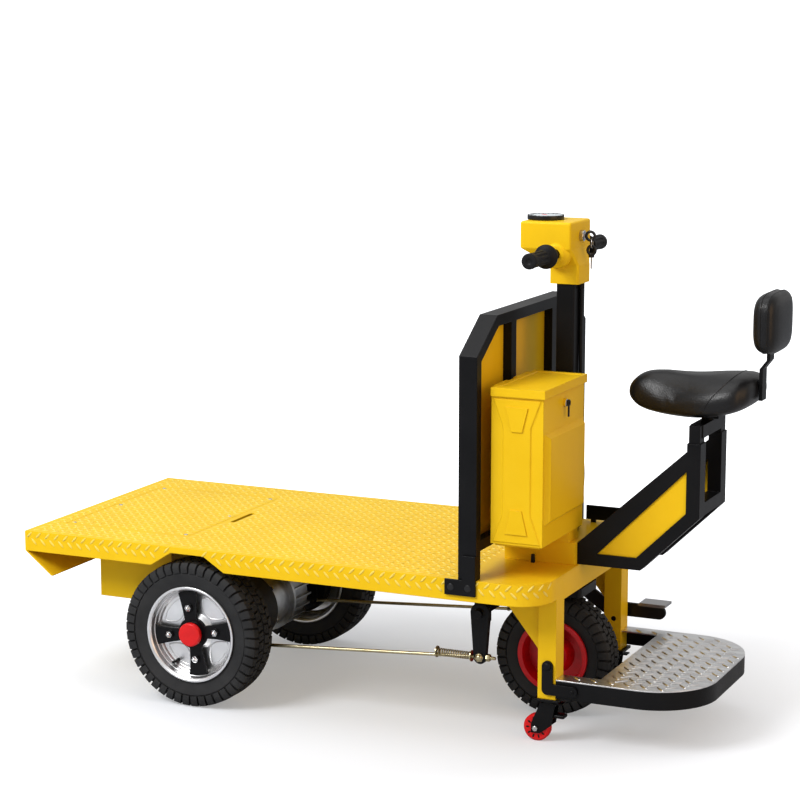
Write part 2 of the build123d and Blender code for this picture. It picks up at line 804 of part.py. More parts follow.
# Front legs, cross beam, gussets and the plates that carry the casters
with BuildPart() as front_legs:
    for side in (-1, 1):
        slab((leg_rear_x, deck_front_x), mirrored(leg_y, leg_width, side), (leg_foot_z, sheet_bottom_z))
    with BuildSketch(Plane.XZ):
        with Locations((pivot_x, pivot_z)):
            Circle(pivot_radius + turn_gap)
    extrude(amount=deck_width / 2, both=True, mode=Mode.SUBTRACT)
front_legs.part.label = "front_legs"
export_step(front_legs.part, "parts/front_legs.step")

with BuildPart() as front_beam:
    slab((deck_front_x - beam_depth, deck_front_x), (-leg_inner_y, leg_inner_y),
         (sheet_bottom_z - beam_height, sheet_bottom_z))
front_beam.part.label = "front_beam"
export_step(front_beam.part, "parts/front_beam.step")

with BuildPart() as leg_gussets:
    for side in (-1, 1):
        gusset_y = leg_outer_y - gusset_inset
        with BuildSketch(side_plane(side * gusset_y)):
            with BuildLine():
                Polyline(
                    (gusset_rear_x, frame_bottom_z),
                    (leg_rear_x, frame_bottom_z),
                    (leg_rear_x, frame_bottom_z - gusset_heel),
                    (gusset_rear_x, frame_bottom_z - gusset_toe),
                    close=True,
                )
            make_face()
        extrude(amount=gusset_sheet / 2, both=True)
leg_gussets.part.label = "leg_gussets"
export_step(leg_gussets.part, "parts/leg_gussets.step")

with BuildPart() as caster_plates:
    for side in (-1, 1):
        slab(span(leg_x, caster_plate_size), span(side * leg_y, caster_plate_size),
             (leg_foot_z - caster_plate_sheet, leg_foot_z))
caster_plates.part.label = "caster_plates"
export_step(caster_plates.part, "parts/caster_plates.step")

caster_top_z = leg_foot_z - caster_plate_sheet - turn_gap
caster_axle_x = leg_x - caster_trail
caster_axle_z = caster_wheel_od / 2
for name, side in (("near", -1), ("far", 1)):
    caster_y = side * leg_y
    cheek_y = caster_wheel_width / 2 + caster_fork_gap
    with BuildPart() as caster_fork:
        with BuildSketch(Plane.XY.offset(caster_top_z - caster_crown_sheet)):
            with Locations((leg_x, caster_y)):
                Circle(caster_fork_width / 2)
        extrude(amount=caster_crown_sheet)
        for cheek_side in (-1, 1):
            with BuildSketch(side_plane(caster_y + cheek_side * (cheek_y + caster_fork_sheet / 2))):
                with BuildLine():
                    Polyline(
                        (leg_x - caster_fork_width / 2, caster_top_z - caster_crown_sheet),
                        (leg_x + caster_fork_width / 2, caster_top_z - caster_crown_sheet),
                        (leg_x + caster_fork_width / 4, caster_axle_z + caster_hub_radius),
                        (caster_axle_x + caster_hub_radius, caster_axle_z - caster_hub_radius),
                        (caster_axle_x - caster_hub_radius, caster_axle_z - caster_hub_radius),
                        (caster_axle_x - caster_hub_radius, caster_axle_z + caster_hub_radius),
                        close=True,
                    )
                make_face()
            extrude(amount=caster_fork_sheet / 2, both=True)
        slab(span(leg_x, caster_fork_width), span(caster_y, 2 * (cheek_y + caster_fork_sheet)),
             (caster_top_z - 2 * caster_crown_sheet, caster_top_z - caster_crown_sheet))
        tab_front_x = leg_x + caster_fork_width / 2 + caster_tab_reach
        slab((leg_x, tab_front_x), span(caster_y, caster_tab_width),
             (caster_top_z - caster_crown_sheet - caster_tab_sheet, caster_top_z - caster_crown_sheet))
        with BuildSketch(side_plane(caster_y)):
            with Locations((caster_axle_x, caster_axle_z)):
                Circle(caster_pin_radius)
        extrude(amount=cheek_y + caster_fork_sheet, both=True)
    caster_fork.part.label = f"caster_fork_{name}"
    export_step(caster_fork.part, f"parts/caster_fork_{name}.step")

    with BuildPart() as caster_wheel:
        with BuildSketch(wheel_plane(caster_axle_x, caster_y, caster_axle_z, 1)) as caster_section:
            with BuildLine():
                tread_half = caster_wheel_width / 2
                bore = caster_pin_radius + turn_gap
                Polyline(
                    (-tread_half, bore),
                    (-tread_half, caster_axle_z),
                    (tread_half, caster_axle_z),
                    (tread_half, bore),
                    close=True,
                )
            make_face()
            chamfer(caster_section.vertices().group_by(Axis.Y)[-1], caster_tread_bevel)
        revolve(axis=y_axis(caster_axle_x, caster_axle_z))
    caster_wheel.part.label = f"caster_wheel_{name}"
    export_step(caster_wheel.part, f"parts/caster_wheel_{name}.step")

# Steering base: a welded box on the deck round the steering bearing
with BuildPart() as steering_base:
    slab((base_rear_x, base_front_x), span(0, base_width), (deck_top_z, base_top_z))
    offset(amount=-base_sheet, openings=steering_base.faces().sort_by(Axis.Z)[0])
    with BuildSketch(Plane.XY.offset(sheet_bottom_z)):
        with Locations((steer_x, 0)):
            Circle(stem_radius + bearing_wall - press_gap)
    extrude(amount=base_top_z - sheet_bottom_z)
    with BuildSketch(Plane.XY.offset(sheet_bottom_z)):
        with Locations((steer_x, 0)):
            Circle(stem_radius + turn_gap)
    extrude(amount=base_top_z - sheet_bottom_z, mode=Mode.SUBTRACT)
steering_base.part.label = "steering_base"
export_step(steering_base.part, "parts/steering_base.step")

# Battery box: bracket, folded sheet box with a raised front panel, battery block and hinged lid
with BuildPart() as battery_bracket:
    tray_z = box_bottom_z - bracket_sheet
    slab((box_rear_x + bracket_inset, box_front_x - bracket_inset),
         (box_near_y + bracket_inset, box_far_y - bracket_inset), (tray_z, box_bottom_z))
    slab((box_rear_x + bracket_inset, box_front_x - bracket_inset),
         (-base_width / 2, box_far_y - bracket_inset), (base_top_z, tray_z))
battery_bracket.part.label = "battery_bracket"
export_step(battery_bracket.part, "parts/battery_bracket.step")

with BuildPart() as battery_box:
    slab((box_rear_x, box_front_x), (box_near_y, box_far_y), (box_bottom_z, box_top_z))
    with BuildSketch(Plane.YZ.offset(box_front_x)):
        panel_zs = (box_bottom_z + plateau_bottom, box_top_z - plateau_top)
        with Locations((box_y, sum(panel_zs) / 2)):
            Rectangle(box_far_y - box_near_y - 2 * plateau_margin_side, panel_zs[1] - panel_zs[0])
    extrude(amount=plateau_height, taper=45)
    offset(amount=-box_sheet, openings=battery_box.faces().sort_by(Axis.Z)[-1])
    stamp_top_z = box_top_z - lid_skirt - stamp_edge
    waist_zs = (box_bottom_z + stamp_foot, box_top_z - stamp_shoulder)
    stamped_wall = (
        # x, z of the raised panel: wide at the ends, narrow at the waist
        (box_rear_x + stamp_edge, stamp_top_z),
        (box_front_x - stamp_edge, stamp_top_z),
        (box_front_x - stamp_waist, waist_zs[1]),
        (box_front_x - stamp_waist, waist_zs[0]),
        (box_front_x - stamp_edge, box_bottom_z + stamp_edge),
        (box_rear_x + stamp_edge, box_bottom_z + stamp_edge),
        (box_rear_x + stamp_waist, waist_zs[0]),
        (box_rear_x + stamp_waist, waist_zs[1]),
    )
    with BuildSketch(side_plane(box_near_y)):
        with BuildLine():
            Polyline(*stamped_wall, close=True)
        make_face()
    extrude(amount=stamp_height, taper=45)
    with BuildSketch(side_plane(box_near_y - stamp_height)):
        for key_z, key_turn in ((waist_zs[0] - key_drop, 0), (waist_zs[1] + key_drop, 180)):
            with Locations((box_x, key_z)):
                Trapezoid(key_width, key_height, key_slant_deg, rotation=key_turn)
    extrude(amount=stamp_height)
    for along in knuckle_ys:
        with BuildSketch(side_plane(along)):
            with Locations((hinge_x, box_top_z)):
                Circle(hinge_radius)
        extrude(amount=knuckle_length / 2, both=True)
        slab((hinge_x, box_rear_x), span(along, knuckle_length),
             (box_top_z - 2 * hinge_radius, box_top_z))
    with BuildSketch(Plane.YZ.offset(box_front_x)):
        with Locations((box_y, box_top_z - lid_skirt - lock_drop)):
            Circle(lock_radius)
    extrude(amount=lock_length)
battery_box.part.label = "battery_box"
export_step(battery_box.part, "parts/battery_box.step")

with BuildPart() as battery_pack:
    floor_z = box_bottom_z + box_sheet
    slab(span(box_x, battery_length), span(box_y, battery_width), (floor_z, floor_z + battery_height))
battery_pack.part.label = "battery_pack"
export_step(battery_pack.part, "parts/battery_pack.step")

with BuildPart() as battery_lid:
    lid_under_z = box_top_z + turn_gap
    lid_edge = lid_gap + lid_sheet
    slab((box_rear_x, box_front_x + lid_edge), (box_near_y - lid_edge, box_far_y + lid_edge),
         (lid_under_z - lid_skirt, lid_under_z + lid_sheet))
    slab((box_rear_x - lid_edge, box_front_x + lid_gap), (box_near_y - lid_gap, box_far_y + lid_gap),
         (lid_under_z - lid_skirt, lid_under_z), mode=Mode.SUBTRACT)
    with BuildSketch(Plane.XY.offset(lid_under_z + lid_sheet)):
        with Locations((box_x + lid_edge / 2, box_y)):
            Rectangle(box_length + lid_edge - 2 * lid_rim, box_far_y - box_near_y + 2 * (lid_edge - lid_rim))
    extrude(amount=-lid_sink, taper=45, mode=Mode.SUBTRACT)
    for along in knuckle_ys:
        for end in (-1, 1):
            start = along + end * (knuckle_length / 2 + turn_gap)
            with BuildSketch(disc_plane(hinge_x, start, box_top_z, end)):
                Circle(hinge_radius)
            extrude(amount=knuckle_length / 2)
            leaf = sorted((start, start + end * knuckle_length / 2))
            slab((hinge_x, box_rear_x), leaf, (lid_under_z, lid_under_z + lid_sheet))
battery_lid.part.label = "battery_lid"
export_step(battery_lid.part, "parts/battery_lid.step")

# Guard rail: a bent tube arch with two posts and a low bar, filled with sheet panels
rail_half = deck_width / 2
rail_outline = (
    # y, z of the arch's outer corners
    (rail_half, deck_top_z),
    (rail_half, rail_shoulder_z),
    (rail_top_half, rail_top_z),
    (-rail_top_half, rail_top_z),
    (-rail_half, rail_shoulder_z),
    (-rail_half, deck_top_z),
)
with BuildPart() as rail_frame:
    with BuildSketch(Plane.YZ.offset(rail_rear_x)) as rail_face:
        with BuildLine():
            Polyline(*rail_outline, close=True)
        make_face()
        with BuildLine(mode=Mode.PRIVATE) as rail_inside:
            Polyline(*rail_outline, close=True)
            offset(amount=-rail_tube, kind=Kind.INTERSECTION, mode=Mode.REPLACE)
        make_face(rail_inside.edges(), mode=Mode.SUBTRACT)
        with Locations((0, deck_top_z + rail_tube / 2)):
            Rectangle(2 * (rail_half - rail_tube), rail_tube, mode=Mode.SUBTRACT)
        with Locations((0, rail_low_bar_z + rail_tube / 2)):
            Rectangle(2 * (rail_half - rail_tube), rail_tube)
        for side in (-1, 1):
            with Locations((side * rail_post_line_y, (rail_low_bar_z + rail_top_z) / 2)):
                Rectangle(rail_post_width, rail_top_z - rail_low_bar_z)
    extrude(amount=rail_depth)
rail_frame.part.label = "rail_frame"
export_step(rail_frame.part, "parts/rail_frame.step")

with BuildPart() as rail_panels:
    with BuildSketch(Plane.YZ.offset(rail_mid_x - rail_panel_sheet / 2)):
        with BuildLine(mode=Mode.PRIVATE) as panel_outline:
            Polyline(*rail_outline, close=True)
            offset(amount=-rail_tube, kind=Kind.INTERSECTION, mode=Mode.REPLACE)
        make_face(panel_outline.edges())
        panel_foot = rail_low_bar_z + rail_tube
        with Locations((0, panel_foot / 2)):
            Rectangle(deck_width, panel_foot, mode=Mode.SUBTRACT)
        for side in (-1, 1):
            with Locations((side * rail_post_line_y, (rail_low_bar_z + rail_top_z) / 2)):
                Rectangle(rail_post_width, rail_top_z - rail_low_bar_z, mode=Mode.SUBTRACT)
    extrude(amount=rail_panel_sheet)
rail_panels.part.label = "rail_panels"
export_step(rail_panels.part, "parts/rail_panels.step")

with BuildPart() as rail_brackets:
    for side in (-1, 1):
        bracket_ys = sorted((side * rail_half, side * (rail_half + rail_bracket_sheet)))
        slab((rail_bracket_rear_x, rail_front_x), bracket_ys,
             (deck_top_z - rail_bracket_height, deck_top_z))
        slab((rail_front_x - rail_strap_width, rail_front_x), bracket_ys,
             (deck_top_z, deck_top_z + rail_strap_rise))
rail_brackets.part.label = "rail_brackets"
export_step(rail_brackets.part, "parts/rail_brackets.step")

# Steering: column, console head, gauge, handlebar with grips, ignition lock and cable
with BuildPart() as steering_column:
    with BuildSketch(Plane.XY.offset(column_foot_z)):
        with Locations((steer_x, 0)):
            RectangleRounded(column_depth, column_width, column_corner)
    extrude(amount=column_top_z - column_foot_z)
steering_column.part.label = "steering_column"
export_step(steering_column.part, "parts/steering_column.step")

block_z = head_top_z - head_block
neck_z = column_top_z + neck_height
with BuildPart() as steering_head:
    with BuildSketch(Plane.XZ):
        with BuildLine():
            Polyline(
                (neck_rear_x, column_top_z),
                (neck_rear_x, neck_z),
                (head_rear_x, block_z),
                (head_rear_x, head_top_z),
                (head_front_x, head_top_z),
                (head_front_x, block_z),
                (neck_front_x, neck_z),
                (neck_front_x, column_top_z),
                close=True,
            )
        make_face()
    extrude(amount=head_width / 2, both=True)
    with BuildSketch(Plane.YZ.offset(head_rear_x)):
        with BuildLine():
            Polyline(
                (-neck_width / 2, column_top_z),
                (-neck_width / 2, neck_z),
                (-head_width / 2, block_z),
                (-head_width / 2, head_top_z),
                (head_width / 2, head_top_z),
                (head_width / 2, block_z),
                (neck_width / 2, neck_z),
                (neck_width / 2, column_top_z),
                close=True,
            )
        make_face()
    extrude(amount=neck_front_x - head_rear_x, mode=Mode.INTERSECT)
    neck_foot = steering_head.faces().sort_by(Axis.Z)[0]
    fillet(steering_head.edges() - neck_foot.edges(), head_round)
    with BuildSketch(Plane.XZ):
        with Locations((bar_x, bar_z)):
            Circle(bar_radius + press_gap)
    extrude(amount=head_width, both=True, mode=Mode.SUBTRACT)
steering_head.part.label = "steering_head"
export_step(steering_head.part, "parts/steering_head.step")

with BuildPart() as gauge:
    with BuildSketch(Plane.XY.offset(head_top_z)):
        with Locations((gauge_x, 0)):
            Circle(gauge_radius)
    extrude(amount=gauge_height)
    chamfer(gauge.faces().sort_by(Axis.Z)[-1].edges(), gauge_bevel)
gauge.part.label = "gauge"
export_step(gauge.part, "parts/gauge.step")

with BuildPart() as handlebar:
    with BuildSketch(Plane.XZ):
        with Locations((bar_x, bar_z)):
            Circle(bar_radius)
    extrude(amount=bar_half, both=True)
handlebar.part.label = "handlebar"
export_step(handlebar.part, "parts/handlebar.step")

with BuildPart() as grips:
    grip_start = bar_half + grip_cap - grip_length
    for side in (-1, 1):
        with BuildSketch(disc_plane(bar_x, side * grip_start, bar_z, side)):
            Circle(grip_radius)
            with PolarLocations(grip_radius, grip_ribs):
                Rectangle(2 * rib_height, rib_height)
        extrude(amount=grip_length - grip_flange_length)
        with BuildSketch(disc_plane(bar_x, side * (bar_half + grip_cap), bar_z, side)):
            Circle(grip_radius + rib_height)
        extrude(amount=-grip_flange_length)
        with BuildSketch(disc_plane(bar_x, side * grip_start, bar_z, side)):
            Circle(grip_flange_radius)
        extrude(amount=grip_flange_length)
    with BuildSketch(Plane.XZ):
        with Locations((bar_x, bar_z)):
            Circle(bar_radius + press_gap)
    extrude(amount=bar_half, both=True, mode=Mode.SUBTRACT)
grips.part.label = "grips"
export_step(grips.part, "parts/grips.step")

with BuildPart() as ignition_lock:
    with BuildSketch(Plane.YZ.offset(head_front_x)):
        with Locations((0, ignition_z)):
            Circle(ignition_radius)
    extrude(amount=ignition_length)
ignition_lock.part.label = "ignition_lock"
export_step(ignition_lock.part, "parts/ignition_lock.step")

# Control cable down the front of the column, from the head to its grommet near the foot
column_front_x = steer_x + column_depth / 2
cable_x = column_front_x + cable_radius + press_gap
cable_sway = (
    # out from the column's front, down from the head
    (0.0, 0.0),
    (0.0, 80.0),
    (-0.1, 160.0),
    (2.0, 240.0),
    (1.0, 320.0),
    (8.0, 400.0),
    (12.0, 460.0),
    (6.0, 520.0),
    (-0.1, 562.0),
)
cable_route = [(cable_x + out, column_top_z - drop) for out, drop in cable_sway]
with BuildPart() as column_cable:
    with BuildLine(Plane.XZ) as cable_line:
        runs = [hypot(b[0] - a[0], b[1] - a[1]) for a, b in zip(cable_route, cable_route[1:])]
        headings = [Vector(b[0] - a[0], b[1] - a[1]) for a, b in zip(cable_route, cable_route[1:])]
        turns = [first.get_angle(then) for first, then in zip(headings, headings[1:])]
        radii = [
            cable_arc_share * min(before, after) / tan(radians(turn) / 2)
            for before, after, turn in zip(runs, runs[1:], turns)
        ]
        cable_path = FilletPolyline(*cable_route, radius=radii)
    with BuildSketch(Plane(origin=cable_path @ 0, z_dir=cable_path % 0)):
        Circle(cable_radius)
    sweep()
cable_bulk = pi * cable_radius**2 * cable_path.length
print("cable radii", [round(radius) for radius in radii])
print("cable volume over section times length", round(column_cable.part.volume / cable_bulk, 4))
column_cable.part.label = "column_cable"
export_step(column_cable.part, "parts/column_cable.step")

# Front fork: stem through the base, crown over the tyre, two legs and the axle pin
fork_inner_y = front_tyre_width / 2 + fork_gap
with BuildPart() as front_fork:
    with BuildSketch(Plane.XY.offset(crown_bottom_z)):
        with Locations((steer_x, 0)):
            Circle(stem_radius)
    extrude(amount=column_foot_z - crown_bottom_z)
    with BuildSketch(Plane.XY.offset(crown_bottom_z)):
        with Locations((front_wheel_x, 0)):
            RectangleRounded(2 * crown_reach, 2 * (fork_inner_y + fork_leg_sheet), fork_leg_sheet)
    extrude(amount=crown_height)
    for side in (-1, 1):
        with BuildSketch(side_plane(side * (fork_inner_y + fork_leg_sheet / 2))):
            with BuildLine():
                Polyline(
                    (front_wheel_x - fork_leg_width / 2, front_axle_z),
                    (front_wheel_x - fork_leg_width / 2, crown_bottom_z),
                    (front_wheel_x + fork_leg_width / 2, crown_bottom_z),
                    (front_wheel_x + fork_leg_width / 2, front_axle_z),
                    close=True,
                )
            make_face()
            with Locations((front_wheel_x, front_axle_z)):
                Circle(fork_leg_width / 2)
        extrude(amount=fork_leg_sheet / 2, both=True)
    with BuildSketch(Plane.XZ):
        with Locations((front_wheel_x, front_axle_z)):
            Circle(front_pin_radius)
    extrude(amount=fork_inner_y + fork_leg_sheet, both=True)
front_fork.part.label = "front_fork"
export_step(front_fork.part, "parts/front_fork.step")

front_axis = y_axis(front_wheel_x, front_axle_z)
front_section = wheel_plane(front_wheel_x, 0, front_axle_z, 1)
with BuildPart() as front_tyre:
    with BuildSketch(front_section):
        with BuildLine():
            front_bead_top = front_rim_flange + slide_gap
            Polyline(*tyre_outline(front_tyre_width / 2, front_axle_z, front_bead_half,
                                   front_bead_radius, front_bead_top), close=True)
        make_face()
    revolve(axis=front_axis)
front_tyre.part.label = "front_tyre"
export_step(front_tyre.part, "parts/front_tyre.step")

with BuildPart() as front_rim:
    with BuildSketch(front_section) as rim_section:
        with BuildLine():
            lip = front_bead_half + press_gap
            lip_end = lip + rim_wall
            seat = front_bead_radius - press_gap
            bore = front_pin_radius + turn_gap
            Polyline(
                (-lip_end, front_rim_flange),
                (-lip, front_rim_flange),
                (-lip, seat),
                (lip, seat),
                (lip, front_rim_flange),
                (lip_end, front_rim_flange),
                (lip_end, seat - rim_wall),
                (rim_wall, seat - 2 * rim_wall),
                (rim_wall, front_hub_radius + rim_wall),
                (lip, front_hub_radius - rim_wall),
                (lip_end, bore),
                (-lip_end, bore),
                (-lip, front_hub_radius - rim_wall),
                (-rim_wall, front_hub_radius + rim_wall),
                (-rim_wall, seat - 2 * rim_wall),
                (-lip_end, seat - rim_wall),
                close=True,
            )
        make_face()
    revolve(axis=front_axis)
front_rim.part.label = "front_rim"
export_step(front_rim.part, "parts/front_rim.step")

# Footboard: black band, tread plate with the wheel notch, and the links it folds on
board_half = leg_outer_y
with BuildPart() as footboard_band:
    with BuildSketch(Plane.XY.offset(board_bottom_z)) as band_outline:
        with Locations(((board_rear_x + board_front_x) / 2, 0)):
            Rectangle(board_front_x - board_rear_x, 2 * board_half)
        fillet(band_outline.vertices().group_by(Axis.X)[-1], board_corner_radius)
        offset(amount=-board_band, mode=Mode.SUBTRACT)
        with Locations((board_rear_x, 0)):
            Rectangle(4 * board_band, 2 * (board_half - board_band), mode=Mode.SUBTRACT)
    extrude(amount=board_height - board_plate)
footboard_band.part.label = "footboard_band"
export_step(footboard_band.part, "parts/footboard_band.step")

with BuildPart() as footboard_plate:
    with BuildSketch(Plane.XY.offset(board_top_z - board_plate)) as plate_outline:
        with Locations(((board_rear_x + board_front_x) / 2, 0)):
            Rectangle(board_front_x - board_rear_x, 2 * board_half)
        fillet(plate_outline.vertices().group_by(Axis.X)[-1], board_corner_radius)
        with Locations(((board_rear_x + board_notch_x) / 2, 0)):
            Rectangle(board_notch_x - board_rear_x, 2 * (board_half - board_strip), mode=Mode.SUBTRACT)
    extrude(amount=board_plate)
footboard_plate.part.label = "footboard_plate"
export_step(footboard_plate.part, "parts/footboard_plate.step")

link_foot_z = (board_top_z - board_plate + board_bottom_z) / 2
with BuildPart() as footboard_links:
    for side in (-1, 1):
        link_y = side * (board_half + link_sheet)
        with BuildSketch(side_plane(link_y)):
            with BuildLine(mode=Mode.PRIVATE) as link_line:
                Polyline((pivot_x, pivot_z), (pivot_x, link_foot_z), (pivot_x + link_reach, link_foot_z))
            SlotArc(link_line.wires()[0], link_width)
        extrude(amount=side * (link_sheet - turn_gap))
        slab((board_rear_x, pivot_x + link_reach),
             sorted((side * board_half, side * (board_half + turn_gap))),
             span(link_foot_z, link_width / 2))
        with BuildSketch(side_plane(link_y)):
            with Locations((pivot_x, pivot_z)):
                Circle(pivot_radius)
        extrude(amount=side * (link_sheet + leg_width))
footboard_links.part.label = "footboard_links"
export_step(footboard_links.part, "parts/footboard_links.step")

# Seat frame: two side frames of square tube with sheet panels, joined by a cross bar
side_outline = (
    # x, z of a side frame's outer corners
    (base_front_x, deck_top_z),
    (seat_foot_x, deck_top_z),
    (seat_post_front_x, seat_post_knee_z),
    (seat_post_front_x, seat_post_top_z),
    (seat_post_rear_x, seat_post_top_z),
    (seat_post_rear_x, seat_diagonal_top_z),
    (base_front_x, seat_rear_end_z),
)
window_foot_z = deck_top_z + seat_bar
window_outline = (
    # x, z of the panel window's corners
    (base_front_x + window_setback, window_foot_z),
    (seat_foot_x - window_foot_cut, window_foot_z),
    (seat_post_rear_x, seat_post_knee_z + window_knee_rise),
    (seat_post_rear_x, seat_diagonal_top_z - window_top_drop),
)
with BuildPart() as seat_frame:
    for side in (-1, 1):
        with BuildSketch(side_plane(side * seat_line_y)):
            with BuildLine():
                Polyline(*side_outline, close=True)
            make_face()
            with BuildLine(mode=Mode.PRIVATE) as window:
                Polyline(*window_outline, close=True)
            make_face(window.edges(), mode=Mode.SUBTRACT)
        extrude(amount=seat_tube / 2, both=True)
        slab(
            span(seat_post_x, seat_post_width - 2 * seat_wall),
            mirrored(seat_line_y, seat_tube - 2 * seat_wall, side),
            (seat_post_top_z - seat_insert - seat_bar, seat_post_top_z),
            mode=Mode.SUBTRACT,
        )
    slab((seat_post_rear_x, seat_post_front_x), (-seat_inner_y, seat_inner_y),
         span(seat_cross_z, seat_cross_height))
seat_frame.part.label = "seat_frame"
export_step(seat_frame.part, "parts/seat_frame.step")

with BuildPart() as seat_panels:
    for side in (-1, 1):
        panel_line_y = seat_frame_half - seat_panel_recess - seat_panel_sheet / 2
        with BuildSketch(side_plane(side * panel_line_y)):
            with BuildLine():
                Polyline(*window_outline, close=True)
            make_face()
        extrude(amount=seat_panel_sheet / 2, both=True)
seat_panels.part.label = "seat_panels"
export_step(seat_panels.part, "parts/seat_panels.step")

with BuildPart() as latch_bar:
    latch_ys = (seat_frame_half + slide_gap, seat_frame_half + slide_gap + latch_sheet)
    latch_zs = (base_top_z + latch_lift, base_top_z + latch_lift + latch_height)
    slab((latch_rear_x, latch_rear_x + latch_length), latch_ys, latch_zs)
    slab((latch_rear_x + latch_foot, latch_rear_x + 2 * latch_foot), latch_ys, (base_top_z, latch_zs[0]))
    with BuildSketch(Plane.YZ.offset(latch_rear_x + latch_length)):
        with Locations((sum(latch_ys) / 2 + latch_knob_radius - latch_sheet / 2,
                        latch_zs[1] - latch_knob_radius)):
            Circle(latch_knob_radius)
    extrude(amount=2 * latch_foot)
latch_bar.part.label = "latch_bar"
export_step(latch_bar.part, "parts/latch_bar.step")

# Seat: bracket that slides in the frame's posts, saddle, backrest bar and pad
with BuildPart() as seat_bracket:
    for side in (-1, 1):
        slab(
            span(seat_post_x, seat_post_width - 2 * seat_wall - 2 * slide_gap),
            mirrored(seat_line_y, seat_tube - 2 * seat_wall - 2 * slide_gap, side),
            (seat_post_top_z - seat_insert, seat_bar_z + seat_bar_height),
        )
    slab(span(seat_post_x, seat_bar_height), (-seat_line_y, seat_line_y),
         (seat_bar_z, seat_bar_z + seat_bar_height))
seat_bracket.part.label = "seat_bracket"
export_step(seat_bracket.part, "parts/seat_bracket.step")

with BuildPart() as saddle_clamp:
    clamp_z = saddle_floor_z - clamp_height
    with BuildSketch(Plane.XY.offset(seat_bar_z + seat_bar_height)):
        with Locations((seat_post_x, 0)):
            Circle(saddle_post_radius)
    extrude(amount=clamp_z - seat_bar_z - seat_bar_height)
    slab(span(seat_post_x, clamp_length), span(0, clamp_width), (clamp_z, saddle_floor_z))
saddle_clamp.part.label = "saddle_clamp"
export_step(saddle_clamp.part, "parts/saddle_clamp.step")

with BuildPart() as saddle:
    with BuildSketch(Plane.XZ):
        with BuildLine():
            nose_low = (saddle_nose_x, saddle_floor_z + saddle_edge_rise)
            nose_top = (saddle_nose_x + nose_reach, saddle_top_z)
            rear_top = (saddle_rear_x, saddle_top_z - saddle_tail_drop)
            rear_low = (saddle_rear_x, saddle_floor_z + saddle_edge_rise)
            belly_rear = (saddle_nose_x + belly_end, saddle_floor_z)
            belly_front = (saddle_nose_x + belly_start, saddle_floor_z)
            ThreePointArc(nose_low, (saddle_nose_x + nose_bulge_reach, saddle_top_z - nose_bulge_drop),
                          nose_top)
            ThreePointArc(nose_top, (saddle_nose_x + saddle_dip_reach, saddle_dip_z), rear_top)
            Polyline(rear_top, rear_low, belly_rear, belly_front, nose_low)
        make_face()
    extrude(amount=saddle_width / 2, both=True)
    with BuildSketch(Plane.XY.offset(saddle_floor_z)) as saddle_plan:
        with BuildLine(mode=Mode.PRIVATE) as plan_half:
            Polyline(
                (saddle_nose_x, 0),
                (saddle_nose_x, nose_width / 2),
                (saddle_nose_x + saddle_waist_reach, nose_width / 2 + saddle_waist_flare),
                (saddle_nose_x + saddle_shoulder_reach, saddle_width / 2),
                (saddle_rear_x, saddle_width / 2 - saddle_tail_inset),
                (saddle_rear_x, 0),
                close=True,
            )
        make_face(plan_half.edges())
        mirror(about=Plane.XZ)
        fillet(saddle_plan.vertices(), plan_round)
    extrude(amount=2 * (saddle_top_z - saddle_floor_z), mode=Mode.INTERSECT)
saddle.part.label = "saddle"
export_step(saddle.part, "parts/saddle.step")

with BuildPart() as backrest_bar:
    with BuildSketch(Plane.XZ):
        with BuildLine():
            Polyline(
                (saddle_rear_x, back_bar_bottom_z),
                (saddle_rear_x + back_bar_sheet, back_bar_bottom_z),
                (saddle_rear_x + back_bar_sheet, back_bar_bend_z),
                (saddle_rear_x + back_bar_sheet + back_bar_lean, pad_bottom_z - back_bar_lean),
                (saddle_rear_x + back_bar_sheet + back_bar_lean, pad_bottom_z),
                (saddle_rear_x + back_bar_lean, pad_bottom_z),
                (saddle_rear_x + back_bar_lean, pad_bottom_z - back_bar_lean),
                (saddle_rear_x, back_bar_bend_z),
                close=True,
            )
        make_face()
    extrude(amount=back_bar_width / 2, both=True)
backrest_bar.part.label = "backrest_bar"
export_step(backrest_bar.part, "parts/backrest_bar.step")

with BuildPart() as backrest_pad:
    slab((pad_front_x - pad_depth, pad_front_x), span(0, pad_width),
         (pad_bottom_z, pad_bottom_z + pad_height))
    fillet(backrest_pad.edges().filter_by(Axis.X), pad_corner)
    chamfer(backrest_pad.faces().sort_by(Axis.X)[-1].edges(), pad_edge)
    chamfer(backrest_pad.faces().sort_by(Axis.X)[0].edges(), pad_edge)
backrest_pad.part.label = "backrest_pad"
export_step(backrest_pad.part, "parts/backrest_pad.step")
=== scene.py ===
# %% [markdown]
# # A ride-on electric platform cart
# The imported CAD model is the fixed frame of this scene: every body, joint and size comes from it.
# Here the frame gets its finishes, and the pieces that CAD leaves plain are made as surfaces:
# the raised tread, the tyre blocks, the rims, the soft seat and the small hardware.

import json

import bmesh
import bpy
import numpy as np
from mathutils import Matrix, Vector


